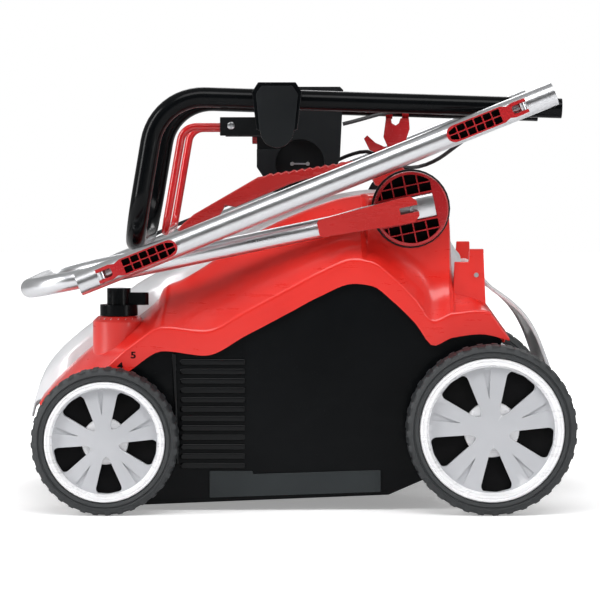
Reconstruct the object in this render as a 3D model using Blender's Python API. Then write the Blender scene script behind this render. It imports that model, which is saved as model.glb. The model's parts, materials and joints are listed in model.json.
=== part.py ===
"""Corded rotary lawn mower with a three-part handle, folded flat over the deck.

Metres, +Z up. The front points to -X and the rear to +X. Left is the operator's left, -Y.
The origin is on the ground, in the middle of the machine's box.
"""
import math

import bmesh
import bpy
from mathutils import Matrix, Vector

# ---- Driving dimensions -------------------------------------------------------------------
GAP = 0.0003            # clearance between faces that touch
RUNNING_GAP = 0.0006    # clearance of a piece that turns on a pin or in a bore
LEFT, RIGHT = -1, 1

DECK_HALF = 0.170       # half the width of the deck; the lateral stack builds out from it
WHEEL_GAP = 0.012       # deck side to a tyre's inner face, where the cranks swing
TYRE_WIDTH = 0.040
TRACK_HALF = DECK_HALF + WHEEL_GAP + TYRE_WIDTH   # centre to a wheel's outer face
FRONT_WHEEL_X, FRONT_WHEEL_R = -0.211, 0.082
REAR_WHEEL_X, REAR_WHEEL_R = 0.218, 0.095
TYRE_DEPTH = 0.0145     # tread to hubcap
WINDOW_COUNT, WINDOW_TURN = 5, 275     # windows, and the angle of the first
WHEEL_SIDES = 24

AXLE_R = 0.005
CRANK_REACH = 0.040     # axle pivot to wheel centre, rearwards
CRANK_DROP = 0.008      # axle pivot to wheel centre, downwards at the lowest cut
CRANK_THICK = 0.005
CRANK_HALF_HEIGHT = 0.011

DECK_WALL = 0.004
DECK_FRONT_X, DECK_REAR_X = -0.262, 0.232
CHAMBER_ROOF_Z = 0.096
ROOF_THICK = 0.005
CHUTE_HALF = DECK_HALF - 0.058
CHUTE_X = 0.126         # front of the discharge passage
VENT_COUNT, VENT_PITCH = 12, 0.0106
VENT_X, VENT_LENGTH = -0.0925, 0.072
VENT_TOP_Z, VENT_HEIGHT, VENT_DEPTH = 0.170, 0.0055, 0.0015

SHELL = 0.003           # wall of the moulded covers
COVER_STANDOFF = 0.0018
COVER_HALF = DECK_HALF + COVER_STANDOFF + SHELL
RIDGE_RISE = 0.027      # height of the side band under the ridge
HOOD_HALF = DECK_HALF - 0.0715      # half width of the motor hood
HOOD_FRONT_HALF = DECK_HALF - 0.084  # the same beside the knob
RECESS = 0.014          # depth of the recess that the motor hood lies in
HOOD_LIFT = 0.0045      # hood edge over the floor of the recess

BLADE_X, BLADE_R, BLADE_Z = -0.045, 0.158, 0.030
BLADE_WIDTH, BLADE_THICK = 0.042, 0.0035
SHAFT_R, BEARING_R = 0.006, 0.0119
ROTOR_R, STATOR_R, MOTOR_HEIGHT = 0.027, 0.047, 0.085

TOWER_OUT, TOWER_IN = DECK_HALF - 0.024, DECK_HALF - 0.058
INNER_PLANE = TOWER_OUT + 0.018         # lateral place of the lower and upper handle tubes
PIVOT_X, PIVOT_Z = 0.130, 0.339         # handle joint on the towers
LOWER_ANGLE, LOWER_LENGTH = 191.95, 0.442
MIDDLE_PIVOT = 0.3516                   # first pivot to second, along the lower handle
MIDDLE_ANGLE, UPPER_PIVOT = 21.86, 0.5012
MIDDLE_FRONT_OVER, MIDDLE_REAR_OVER = 0.029, 0.0395
UPPER_ANGLE, UPPER_LENGTH, UPPER_OVER = 178.2, 0.4045, 0.0468
LEG_ANGLE, LEG_LENGTH = 260.4, 0.1676   # the bent grip end of the upper handle
LOWER_TUBE_R, MIDDLE_TUBE_R, UPPER_TUBE_R = 0.011, 0.01325, 0.01125
TUBE_WALL = 0.0015
PLANE_GAP = 0.0015
OUTER_PLANE = INNER_PLANE + max(LOWER_TUBE_R, UPPER_TUBE_R) + PLANE_GAP + MIDDLE_TUBE_R
BEND_R = 0.060
TUBE_SIDES = 10

DISC_R, SEAT_R = 0.042, 0.0445
SEAT_THICK, DISC_THICK = 0.0037, 0.0155
PLATE_HALF_Y, PLATE_HALF_Z = 0.0038, 0.0135   # flattened end of the lower handle
BOLT_R = 0.003
LEVER_HALF, LEVER_THICK, LEVER_LENGTH = 0.0095, 0.0115, 0.090
BARREL_R = 0.0042

BRACKET_FRONT_X, BRACKET_REAR_X = -0.048, 0.0077
BRACKET_OUT, BRACKET_IN = INNER_PLANE + 0.024, INNER_PLANE - 0.028
BRACKET_TOP_Z, BRACKET_BOTTOM_Z = 0.4800, 0.4059
BAIL_X, BAIL_Z = -0.031, 0.4315
BAIL_R, BAIL_HALF = 0.0045, INNER_PLANE - 0.042
ARM_FRONT_X, ARM_HALF_Z, ARM_THICK = -0.085, 0.0105, 0.014
HOUSING_FRONT_X, HOUSING_REAR_X = -0.047, 0.058
HOUSING_IN, HOUSING_OUT = INNER_PLANE - 0.052, INNER_PLANE - 0.004
HOUSING_TOP_Z, HOUSING_BOTTOM_Z = 0.4815, 0.354
INLET_R, INLET_DEPTH = 0.030, 0.022
BUTTON_R, BUTTON_PROUD = 0.008, 0.006
BUTTON_Y, BUTTON_Z = INNER_PLANE - 0.018, 0.420

KNOB_X, KNOB_Y = -0.2005, -(DECK_HALF - 0.052)
KNOB_SEAT_Z = 0.2165    # top of the boss that the knob turns on
BOSS_R, KNOB_R, STEM_R = 0.0296, 0.0215, 0.004
FLAP_X, FLAP_Z = 0.2045, 0.2640
FLAP_ROD_R, FLAP_BARREL_R = 0.0027, 0.0095
FLAP_HALF = DECK_HALF - 0.052
REAR_BRACKET_IN = DECK_HALF - 0.0355
REAR_BRACKET_THICK = 0.006

HOOK_X = 0.125          # cord hook on the right tube of the upper handle
HOOK_CLIP, HOOK_CLEAR = 0.013, 0.0088   # drop of its clips, and its foot over the pivot disc
CABLE_R, CABLE_STEP = 0.0024, 0.0102


# ---- Materials ----------------------------------------------------------------------------
def finish(name, color, roughness, metallic=0.0):
    mat = bpy.data.materials.new(name)
    mat.use_nodes = True
    shader = mat.node_tree.nodes["Principled BSDF"]
    shader.inputs["Base Color"].default_value = (*color, 1.0)
    shader.inputs["Roughness"].default_value = roughness
    shader.inputs["Metallic"].default_value = metallic
    return mat


def make_finishes():
    return {
        "red": finish("red_plastic", (0.68, 0.025, 0.03), 0.25),
        "dark_red": finish("dark_red_plastic", (0.45, 0.012, 0.02), 0.35),
        "black": finish("black_plastic", (0.012, 0.014, 0.016), 0.3),
        "silver": finish("silver_paint", (0.72, 0.73, 0.75), 0.3, 0.4),
        "grey": finish("wheel_grey", (0.62, 0.62, 0.65), 0.4, 0.2),
        "tyre": finish("tyre_rubber", (0.02, 0.022, 0.024), 0.7),
        "tube": finish("drawn_aluminium", (0.75, 0.76, 0.78), 0.28, 1.0),
        "black_tube": finish("black_enamel", (0.01, 0.011, 0.012), 0.2, 0.3),
        "steel": finish("plated_steel", (0.6, 0.6, 0.6), 0.3, 1.0),
        "copper": finish("copper_winding", (0.55, 0.2, 0.08), 0.4, 1.0),
        "cable": finish("cable_black", (0.015, 0.016, 0.018), 0.45),
    }


# ---- Mesh helpers -------------------------------------------------------------------------
def add_object(name, mesh_data, mat):
    """Turn a bmesh into a smooth-shaded object with its faces pointing out."""
    bmesh.ops.recalc_face_normals(mesh_data, faces=mesh_data.faces)
    mesh = bpy.data.meshes.new(name)
    mesh_data.to_mesh(mesh)
    mesh_data.free()
    obj = bpy.data.objects.new(name, mesh)
    bpy.context.scene.collection.objects.link(obj)
    mesh.materials.append(mat)
    mesh.shade_smooth()
    mesh.set_sharp_from_angle(angle=math.radians(32))
    return obj


def combine(obj, others, operation):
    """Cut or join other objects into obj, then remove them."""
    for other in others:
        step = obj.modifiers.new(operation.lower(), "BOOLEAN")
        step.operation = operation
        step.solver = "EXACT"
        step.object = other
        bpy.context.view_layer.update()
        done = bpy.data.meshes.new_from_object(obj.evaluated_get(
            bpy.context.evaluated_depsgraph_get()))
        obj.modifiers.clear()
        obj.data = done
        bpy.data.objects.remove(other, do_unlink=True)
    obj.data.shade_smooth()
    obj.data.set_sharp_from_angle(angle=math.radians(32))
    return obj


def prism(name, outline, low, high, mat, axis="Y"):
    """Extrude an outline; the outline holds (x, z) along Y, (y, z) along X or (x, y) along Z."""
    place = {
        "Y": lambda a, b, h: (a, h, b),
        "X": lambda a, b, h: (h, a, b),
        "Z": lambda a, b, h: (a, b, h),
    }[axis]
    shape = bmesh.new()
    ends = []
    for height in (low, high):
        ring = [shape.verts.new(place(a, b, height)) for a, b in outline]
        shape.faces.new(ring)
        ends.append(ring)
    count = len(outline)
    for i in range(count):
        j = (i + 1) % count
        shape.faces.new((ends[0][i], ends[0][j], ends[1][j], ends[1][i]))
    return add_object(name, shape, mat)


def box(name, low, high, mat):
    outline = [(low[0], low[2]), (high[0], low[2]), (high[0], high[2]), (low[0], high[2])]
    return prism(name, outline, low[1], high[1], mat)


def arc(centre, radius, start, end, steps):
    """Points on an arc, with angles in degrees."""
    points = []
    for i in range(steps + 1):
        angle = math.radians(start + (end - start) * i / steps)
        points.append((centre[0] + radius * math.cos(angle), centre[1] + radius * math.sin(angle)))
    return points


def turned(name, profile, centre, direction, mat, sides=20):
    """Turn a closed profile of (radius, height) about an axis; radius 0 lies on the axis."""
    shape = bmesh.new()
    turn = Vector(direction).to_track_quat("Z", "Y").to_matrix()
    rings = []
    for radius, height in profile:
        count = 1 if radius < 1e-6 else sides
        ring = []
        for i in range(count):
            angle = 2 * math.pi * i / sides
            local = Vector((radius * math.cos(angle), radius * math.sin(angle), height))
            ring.append(shape.verts.new(Vector(centre) + turn @ local))
        rings.append(ring)
    for a, b in zip(rings, rings[1:] + rings[:1]):
        if len(a) == 1 and len(b) == 1:
            continue
        for i in range(sides):
            j = (i + 1) % sides
            if len(a) == 1:
                shape.faces.new((a[0], b[j], b[i]))
            elif len(b) == 1:
                shape.faces.new((a[i], a[j], b[0]))
            else:
                shape.faces.new((a[i], a[j], b[j], b[i]))
    return add_object(name, shape, mat)


def rod(name, start, end, radius, mat, sides=12):
    length = (Vector(end) - Vector(start)).length
    profile = [(0, 0), (radius, 0), (radius, length), (0, length)]
    return turned(name, profile, start, Vector(end) - Vector(start), mat, sides)


def ring_piece(name, inner, outer, start, end, mat, sides=24):
    length = (Vector(end) - Vector(start)).length
    profile = [(inner, 0), (outer, 0), (outer, length), (inner, length)]
    return turned(name, profile, start, Vector(end) - Vector(start), mat, sides)


def rounded_path(corners, radius, steps=5):
    """A polyline through the corners with each inner corner turned on the given radius."""
    points = [Vector(corners[0])]
    for before, corner, after in zip(corners, corners[1:], corners[2:]):
        into = (Vector(corner) - Vector(before)).normalized()
        out = (Vector(after) - Vector(corner)).normalized()
        angle = into.angle(out)
        back = radius * math.tan(angle / 2)
        centre = Vector(corner) + (out - into).normalized() * (radius / math.cos(angle / 2))
        first = Vector(corner) - into * back - centre
        hinge = into.cross(out).normalized()
        for i in range(steps + 1):
            points.append(centre + Matrix.Rotation(angle * i / steps, 3, hinge) @ first)
    points.append(Vector(corners[-1]))
    return points


def swept(name, path, radius, mat, wall=0.0, sides=TUBE_SIDES, scales=None):
    """Sweep a round section; a wall makes it a tube, and scales hold (sideways, upright)."""
    shape = bmesh.new()
    scales = scales or [(1.0, 1.0)] * len(path)
    tangents = []
    for i, point in enumerate(path):
        ahead = path[min(i + 1, len(path) - 1)] - point
        behind = point - path[max(i - 1, 0)]
        tangents.append((ahead.normalized() + behind.normalized()).normalized())
    side = Vector((0, 1, 0))
    outer, inner = [], []
    for i, point in enumerate(path):
        side = (side - tangents[i] * side.dot(tangents[i])).normalized()
        up = tangents[i].cross(side)
        wide, tall = scales[i]
        for ring_list, shrink in ((outer, 0.0), (inner, wall)):
            ring = []
            for k in range(sides):
                angle = 2 * math.pi * (k + 0.5) / sides
                across = side * math.cos(angle) * (radius * wide - shrink)
                upright = up * math.sin(angle) * (radius * tall - shrink)
                ring.append(point + across + upright)
            ring_list.append(ring)
    walls = [outer, inner] if wall else [outer]
    made = [[[shape.verts.new(p) for p in ring] for ring in rings] for rings in walls]
    for rings in made:
        for a, b in zip(rings, rings[1:]):
            for k in range(sides):
                m = (k + 1) % sides
                shape.faces.new((a[k], a[m], b[m], b[k]))
    for end in (0, -1):
        if wall:
            for k in range(sides):
                m = (k + 1) % sides
                shape.faces.new((made[0][end][k], made[0][end][m],
                                 made[1][end][m], made[1][end][k]))
        else:
            shape.faces.new(made[0][end])
    return add_object(name, shape, mat)


def interpolate(points, x):
    """Height of an outline at x, straight between its points."""
    if x <= points[0][0]:
        return points[0][1]
    for (x0, z0), (x1, z1) in zip(points, points[1:]):
        if x <= x1:
            return z0 + (z1 - z0) * (x - x0) / (x1 - x0)
    return points[-1][1]


def inner_section(before, section, after, thickness):
    """The section moved inwards by the wall: across in its plane, and along X on steep slopes."""
    middle = len(section) // 2
    run = max(after[middle][0] - before[middle][0], 1e-4)
    rises = [b[2] - a[2] for a, b in zip(before, after)]
    slope = max(rises, key=abs) / run
    shift = thickness * slope / math.hypot(1.0, slope)
    moved = []
    for i, (x, y, z) in enumerate(section):
        ahead = section[min(i + 1, len(section) - 1)]
        behind = section[max(i - 1, 0)]
        along = Vector((ahead[1] - y, ahead[2] - z)).normalized()
        along += Vector((y - behind[1], z - behind[2])).normalized()
        along.normalize()
        moved.append((x + shift, y + along.y * thickness, z - along.x * thickness))
    return moved


def loft(name, sections, mat, thickness):
    """Skin open cross-sections of equal length, with a wall inwards and closed edges."""
    shape = bmesh.new()
    inner = []
    for i, section in enumerate(sections):
        before, after = sections[max(i - 1, 0)], sections[min(i + 1, len(sections) - 1)]
        inner.append(inner_section(before, section, after, thickness))
    skins = [[[shape.verts.new(point) for point in row] for row in rows]
             for rows in (sections, inner)]
    for rows in skins:
        for a, b in zip(rows, rows[1:]):
            for i in range(len(a) - 1):
                shape.faces.new((a[i], a[i + 1], b[i + 1], b[i]))
    out, back = skins
    for a, b, c, d in zip(out, out[1:], back, back[1:]):
        for i in (0, -1):
            shape.faces.new((a[i], b[i], d[i], c[i]))
    for i in (0, -1):
        for k in range(len(out[i]) - 1):
            shape.faces.new((out[i][k], out[i][k + 1], back[i][k + 1], back[i][k]))
    return add_object(name, shape, mat)


# ---- Handle geometry ----------------------------------------------------------------------
def step_from(point, angle, distance):
    turn = math.radians(angle)
    return (point[0] + distance * math.cos(turn), point[1] + distance * math.sin(turn))


PIVOT = (PIVOT_X, PIVOT_Z)
MIDDLE_HINGE = step_from(PIVOT, LOWER_ANGLE, MIDDLE_PIVOT)
UPPER_HINGE = step_from(MIDDLE_HINGE, MIDDLE_ANGLE, UPPER_PIVOT)
UPPER_CORNER = step_from(UPPER_HINGE, UPPER_ANGLE, UPPER_LENGTH)
GRIP_BAR = step_from(UPPER_CORNER, LEG_ANGLE, LEG_LENGTH)


def at(point, y):
    return Vector((point[0], y, point[1]))


# ---- Side outlines of the moulded covers --------------------------------------------------
BAND_LOW = [(-0.288, 0.112), (-0.235, 0.120), (-0.185, 0.158), (-0.1475, 0.180), (-0.101, 0.175),
            (-0.054, 0.198), (-0.003, 0.225), (0.026, 0.2405), (0.066, 0.2555), (0.086, 0.253),
            (0.109, 0.236), (0.135, 0.2105), (0.155, 0.186), (0.176, 0.195), (0.208, 0.199),
            (0.240, 0.192)]
COVER_TOP = [(-0.288, 0.126), (-0.2675, 0.149), (-0.231, 0.182), (-0.157, 0.234),
             (-0.149, 0.249), (-0.129, 0.258), (-0.0355, 0.316), (0.027, 0.343), (0.057, 0.352),
             (0.087, 0.356), (0.155, 0.356), (0.172, 0.342), (0.180, 0.262), (0.205, 0.245),
             (0.240, 0.200)]
HOOD_TOP = [(-0.306, 0.105), (-0.294, 0.146), (-0.277, 0.170), (-0.259, 0.187), (-0.226, 0.213),
            (-0.1885, 0.246), (-0.153, 0.266), (-0.112, 0.287), (-0.037, 0.321), (0.028, 0.347),
            (0.058, 0.354), (0.090, 0.358), (0.130, 0.356), (0.160, 0.335), (0.1865, 0.2895),
            (0.191, 0.2845)]
COVER_FLOOR = [(x, z - RECESS) for x, z in COVER_TOP if not -0.16 < x < -0.12]
TOWER_FRONT_X = 0.082


def make_deck(mats):
    """The black deck: skirt walls, chamber roof, discharge passage and axle tunnels."""
    outline = [(DECK_FRONT_X, 0.030), (DECK_FRONT_X - 0.006, 0.088)]
    outline += [(x, z + 0.008) for x, z in BAND_LOW if -0.24 < x < DECK_REAR_X - 0.01]
    outline += [(DECK_REAR_X, BAND_LOW[-1][1]), (0.215, 0.130), (0.190, 0.055), (0.105, 0.018),
                (-0.190, 0.006)]
    deck = prism("deck", outline, -DECK_HALF, DECK_HALF, mats["black"])
    inner = DECK_HALF - DECK_WALL
    roof_top = CHAMBER_ROOF_Z + ROOF_THICK
    front = DECK_FRONT_X + 0.001
    bay = box("cut", (front + 0.004, -inner, roof_top), (CHUTE_X - DECK_WALL, inner, 0.4),
              mats["black"])
    chamber = box("cut", (front, -inner, -0.05), (CHUTE_X + 0.006, inner, CHAMBER_ROOF_Z),
                  mats["black"])
    tunnel_top = REAR_WHEEL_R + CRANK_DROP + AXLE_R + 0.008
    tunnel = box("cut", (CHUTE_X, -inner, -0.05), (0.186, inner, tunnel_top), mats["black"])
    rise = box("cut", (CHUTE_X, -CHUTE_HALF, 0.05), (0.152, CHUTE_HALF, 0.4), mats["black"])
    passage = box("cut", (0.151, -CHUTE_HALF, tunnel_top + DECK_WALL), (0.30, CHUTE_HALF, 0.4),
                  mats["black"])
    combine(deck, [bay, chamber, tunnel, rise, passage], "DIFFERENCE")
    holes = []
    for wheel_x, wheel_r in ((FRONT_WHEEL_X, FRONT_WHEEL_R), (REAR_WHEEL_X, REAR_WHEEL_R)):
        x, z = wheel_x - CRANK_REACH, wheel_r + CRANK_DROP
        holes.append(rod("cut", (x, -TRACK_HALF, z), (x, TRACK_HALF, z), AXLE_R + RUNNING_GAP,
                         mats["black"]))
    holes.append(rod("cut", (BLADE_X, 0, 0.05), (BLADE_X, 0, 0.15), BEARING_R + GAP,
                     mats["black"], 20))
    holes.append(rod("cut", (KNOB_X, KNOB_Y, 0.05), (KNOB_X, KNOB_Y, 0.15), STEM_R + RUNNING_GAP,
                     mats["black"]))
    combine(deck, holes, "DIFFERENCE")
    vents = []
    for side in (LEFT, RIGHT):
        for i in range(VENT_COUNT):
            z = VENT_TOP_Z - i * VENT_PITCH
            outer = side * (DECK_HALF + 0.01)
            depth = side * (DECK_HALF - VENT_DEPTH)
            vents.append(box("cut", (VENT_X - VENT_LENGTH / 2, min(outer, depth),
                                     z - VENT_HEIGHT),
                             (VENT_X + VENT_LENGTH / 2, max(outer, depth), z), mats["black"]))
    return combine(deck, vents, "DIFFERENCE")


def hood_half(x):
    """Half width of the motor hood at x: narrow beside the knob, wide further back."""
    return interpolate([(-0.165, HOOD_FRONT_HALF), (-0.125, HOOD_HALF)], x)


def cover_section(x):
    """One cross-section of the red cover, from the left edge over the top to the right."""
    low, top = interpolate(BAND_LOW, x), interpolate(COVER_TOP, x)
    ridge = min(low + RIDGE_RISE, top - 0.006)
    half = COVER_HALF - 0.020 * max(0.0, (-0.235 - x) / 0.053) ** 2
    tower = TOWER_FRONT_X <= x <= 0.176
    shoulder = TOWER_OUT if tower else TOWER_IN
    lift = (top - ridge) * (0.25 if tower else 0.5)
    middle = (half + shoulder) / 2 if not tower else shoulder
    floor = interpolate(COVER_FLOOR, x)
    centre = hood_half(x) + 0.0015
    half_section = [
        (half, low), (half, ridge), (middle, ridge + lift), (shoulder, top - 0.003),
        (shoulder - 0.004, top), (centre + 0.003, top), (centre, floor),
    ]
    left = [(x, -y, z) for y, z in half_section]
    right = [(x, y, z) for y, z in reversed(half_section)]
    return left + right


def make_top_cover(mats):
    """The red cover: side bands, handle towers, knob boss and rear brackets in one moulding."""
    stations = [-0.288, -0.2675, -0.245, -0.231, -0.185, -0.157, -0.149, -0.129, -0.101, -0.054,
                -0.003, 0.027, 0.057, TOWER_FRONT_X - 0.005, TOWER_FRONT_X, 0.109, 0.135, 0.155,
                0.172, 0.1759, 0.180, 0.205, 0.240]
    cover = loft("top_cover", [cover_section(x) for x in stations], mats["red"], SHELL)
    gap_half = HOOD_HALF + 0.002
    rear_gap = box("cut", (CHUTE_X - 0.012, -gap_half, 0.10), (0.30, gap_half, 0.40), mats["red"])
    combine(cover, [rear_gap], "DIFFERENCE")
    boss = rod("boss", (KNOB_X, KNOB_Y, 0.150), (KNOB_X, KNOB_Y, KNOB_SEAT_Z), BOSS_R,
               mats["red"], 24)
    combine(cover, [boss], "UNION")
    bore = rod("cut", (KNOB_X, KNOB_Y, 0.10), (KNOB_X, KNOB_Y, 0.30), STEM_R + RUNNING_GAP,
               mats["red"])
    under = rod("cut", (KNOB_X, KNOB_Y, 0.10), (KNOB_X, KNOB_Y, 0.170), BOSS_R - SHELL,
                mats["red"], 24)
    brackets, pins = [], []
    for side in (LEFT, RIGHT):
        plate = [(0.1775, 0.222), (0.2165, 0.206), (0.2127, 0.2933), (0.1969, 0.2933),
                 (0.1958, 0.2787), (0.1800, 0.2787)]
        low, high = sorted((side * REAR_BRACKET_IN,
                            side * (REAR_BRACKET_IN + REAR_BRACKET_THICK)))
        brackets.append(prism("bracket", plate, low, high, mats["red"]))
        pins.append(rod("cut", at(PIVOT, side * TOWER_IN), at(PIVOT, side * (TOWER_OUT + 0.01)),
                        BOLT_R + GAP, mats["red"]))
        pins.append(rod("cut", (FLAP_X, side * (REAR_BRACKET_IN - 0.02), FLAP_Z),
                        (FLAP_X, side * (REAR_BRACKET_IN + 0.02), FLAP_Z),
                        FLAP_ROD_R + RUNNING_GAP, mats["red"]))
    combine(cover, brackets, "UNION")
    return combine(cover, [bore, under] + pins, "DIFFERENCE")


def make_hood(mats):
    """The silver motor hood, one crowned band from the nose to the rear edge."""
    sections = []
    last = HOOD_TOP[-1][0]
    stations = {x for x, _ in HOOD_TOP} | {x for x, _ in COVER_FLOOR if x < last} | {-0.165, -0.125}
    for x in sorted(stations):
        top = interpolate(HOOD_TOP, x)
        edge = min(interpolate(COVER_FLOOR, x) + HOOD_LIFT, top - 0.0095)
        half = hood_half(x) * (1 - 0.35 * max(0.0, (-0.259 - x) / 0.047) ** 1.5)
        section = [(x, -half, edge)]
        for share in (-0.97, -0.72, -0.36, 0.0, 0.36, 0.72, 0.97):
            crown = 1 - 0.42 * share ** 4
            section.append((x, half * share, edge + (top - edge) * crown))
        section.append((x, half, edge))
        sections.append(section)
    return loft("motor_hood", sections, mats["silver"], SHELL)


def make_flap(mats):
    """The silver rear flap, curved from its hinge barrel down over the discharge passage."""
    outer = [(0.213, 0.2625), (0.2254, 0.2496), (0.2466, 0.2343), (0.2642, 0.2166),
             (0.2783, 0.1931), (0.2936, 0.1531)]
    thick = 0.0032
    inner = [(x - thick * 0.75, z - thick * 0.66) for x, z in outer]
    flap = prism("rear_flap", outer + inner[::-1], -FLAP_HALF, FLAP_HALF, mats["silver"])
    barrel = rod("barrel", (FLAP_X, -FLAP_HALF, FLAP_Z), (FLAP_X, FLAP_HALF, FLAP_Z),
                 FLAP_BARREL_R, mats["silver"])
    combine(flap, [barrel], "UNION")
    spring_slot = box("cut", (FLAP_X - 0.02, -0.026, FLAP_Z - 0.02),
                      (FLAP_X + FLAP_BARREL_R - GAP, 0.026, FLAP_Z + 0.02), mats["silver"])
    bore = rod("cut", (FLAP_X, -0.3, FLAP_Z), (FLAP_X, 0.3, FLAP_Z), FLAP_ROD_R + RUNNING_GAP,
               mats["silver"])
    combine(flap, [spring_slot, bore], "DIFFERENCE")
    rod_end = REAR_BRACKET_IN + REAR_BRACKET_THICK + 0.0035
    rod("flap_rod", (FLAP_X, -rod_end, FLAP_Z), (FLAP_X, rod_end, FLAP_Z), FLAP_ROD_R,
        mats["steel"])
    ring_piece("flap_spring", FLAP_ROD_R + RUNNING_GAP, FLAP_ROD_R + 0.0035,
               (FLAP_X, -0.023, FLAP_Z), (FLAP_X, 0.023, FLAP_Z), mats["steel"], 16)


def make_carry_handle(mats):
    """The red arched carrying handle with a toothed grip, in the middle of the hood."""
    teeth = []
    for i in range(10):
        share = i / 10
        x = -0.038 + 0.092 * share
        z = 0.3766 + 0.0141 * share
        teeth += [(x + 0.0030, z - 0.0020), (x + 0.0092, z + 0.0014)]
    top = [(-0.139, 0.3105), (-0.133, 0.3175), (-0.119, 0.3295), (-0.044, 0.373)] + teeth
    top += [(0.098, 0.3945), (0.123, 0.3900), (0.134, 0.3720), (0.136, 0.3625)]
    under = [(0.094, 0.3630), (0.088, 0.3755), (0.050, 0.3780), (0.010, 0.3700),
             (-0.0063, 0.3648), (-0.0698, 0.3378), (-0.082, 0.3400), (-0.100, 0.3060)]
    return prism("carry_handle", top + under, -0.015, 0.015, mats["red"])


def make_wheel(mats, place, side, wheel_x, radius):
    """One wheel: a rubber tyre around a grey hubcap with five windows and a blind bore."""
    middle = side * (TRACK_HALF - TYRE_WIDTH / 2)
    centre, out = (wheel_x, middle, radius), (0, side, 0)
    hub_r, half = radius - TYRE_DEPTH, TYRE_WIDTH / 2
    tread = [(hub_r, -half), (radius - 0.006, -half), (radius, -half + 0.007),
             (radius, half - 0.007), (radius - 0.006, half), (hub_r, half)]
    turned(f"tyre_{place}", tread, centre, out, mats["tyre"], WHEEL_SIDES)
    rim = hub_r - GAP
    profile = [(AXLE_R + RUNNING_GAP, -half + 0.004), (AXLE_R + RUNNING_GAP, 0.006), (0, 0.006),
               (0, 0.015), (hub_r * 0.84, 0.010), (rim, half - 0.001), (rim, -half + 0.002),
               (rim - 0.004, -half + 0.002), (hub_r * 0.90, 0.006), (0.013, 0.009),
               (0.013, -half + 0.004)]
    hub = turned(f"hubcap_{place}", profile, centre, out, mats["grey"], WHEEL_SIDES)
    cuts = []
    for i in range(WINDOW_COUNT):
        middle_angle = WINDOW_TURN + 360 / WINDOW_COUNT * i
        outline = [(0.28, 0.0), (0.55, -18.0), (0.80, -18.0), (0.86, -11.0), (0.86, 11.0),
                   (0.80, 18.0), (0.55, 18.0)]
        points = []
        for share, spread in outline:
            angle = math.radians(middle_angle + spread)
            points.append((wheel_x + share * hub_r * math.cos(angle),
                           radius + share * hub_r * math.sin(angle)))
        low, high = sorted((middle, middle + side * half))
        cuts.append(prism("cut", points, low, high, mats["grey"]))
    return combine(hub, cuts, "DIFFERENCE")


def make_axle(mats, place, wheel_x, radius):
    """A cranked axle: one cross shaft with a crank plate and a wheel stub at each end."""
    x, z = wheel_x - CRANK_REACH, radius + CRANK_DROP
    inner = DECK_HALF + 0.0025
    shaft = rod(f"{place}_axle", (x, -inner - 0.002, z), (x, inner + 0.002, z), AXLE_R,
                mats["steel"])
    others = []
    lean = math.degrees(math.atan2(-CRANK_DROP, CRANK_REACH))
    outline = arc((x, z), CRANK_HALF_HEIGHT, lean + 90, lean + 270, 6)
    outline += arc((wheel_x, radius), CRANK_HALF_HEIGHT, lean - 90, lean + 90, 6)
    stub_end = TRACK_HALF - TYRE_WIDTH / 2 + 0.0055
    for side in (LEFT, RIGHT):
        low, high = sorted((side * inner, side * (inner + CRANK_THICK)))
        others.append(prism("crank", outline, low, high, mats["steel"]))
        others.append(rod("stub", (wheel_x, side * (inner + 0.002), radius),
                          (wheel_x, side * stub_end, radius), AXLE_R, mats["steel"]))
    return combine(shaft, others, "UNION")


def make_height_knob(mats):
    """The cutting-height knob with its wing and the stem that goes down into the deck."""
    x, y, base = KNOB_X, KNOB_Y, KNOB_SEAT_Z + 2 * GAP
    knob = rod("height_knob", (x, y, base), (x, y, base + 0.0125), KNOB_R, mats["black"], 24)
    crown = rod("crown", (x, y, base + 0.006), (x, y, base + 0.031), 0.0135, mats["black"], 20)
    wing = [(x - 0.004, y - 0.006), (x + 0.030, y - 0.005), (x + 0.034, y), (x + 0.030, y + 0.005),
            (x - 0.004, y + 0.006)]
    blade = prism("wing", wing, base + 0.0118, base + 0.026, mats["black"], "Z")
    stem = rod("stem", (x, y, 0.070), (x, y, base + 0.004), STEM_R, mats["black"])
    return combine(knob, [crown, blade, stem], "UNION")


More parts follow.
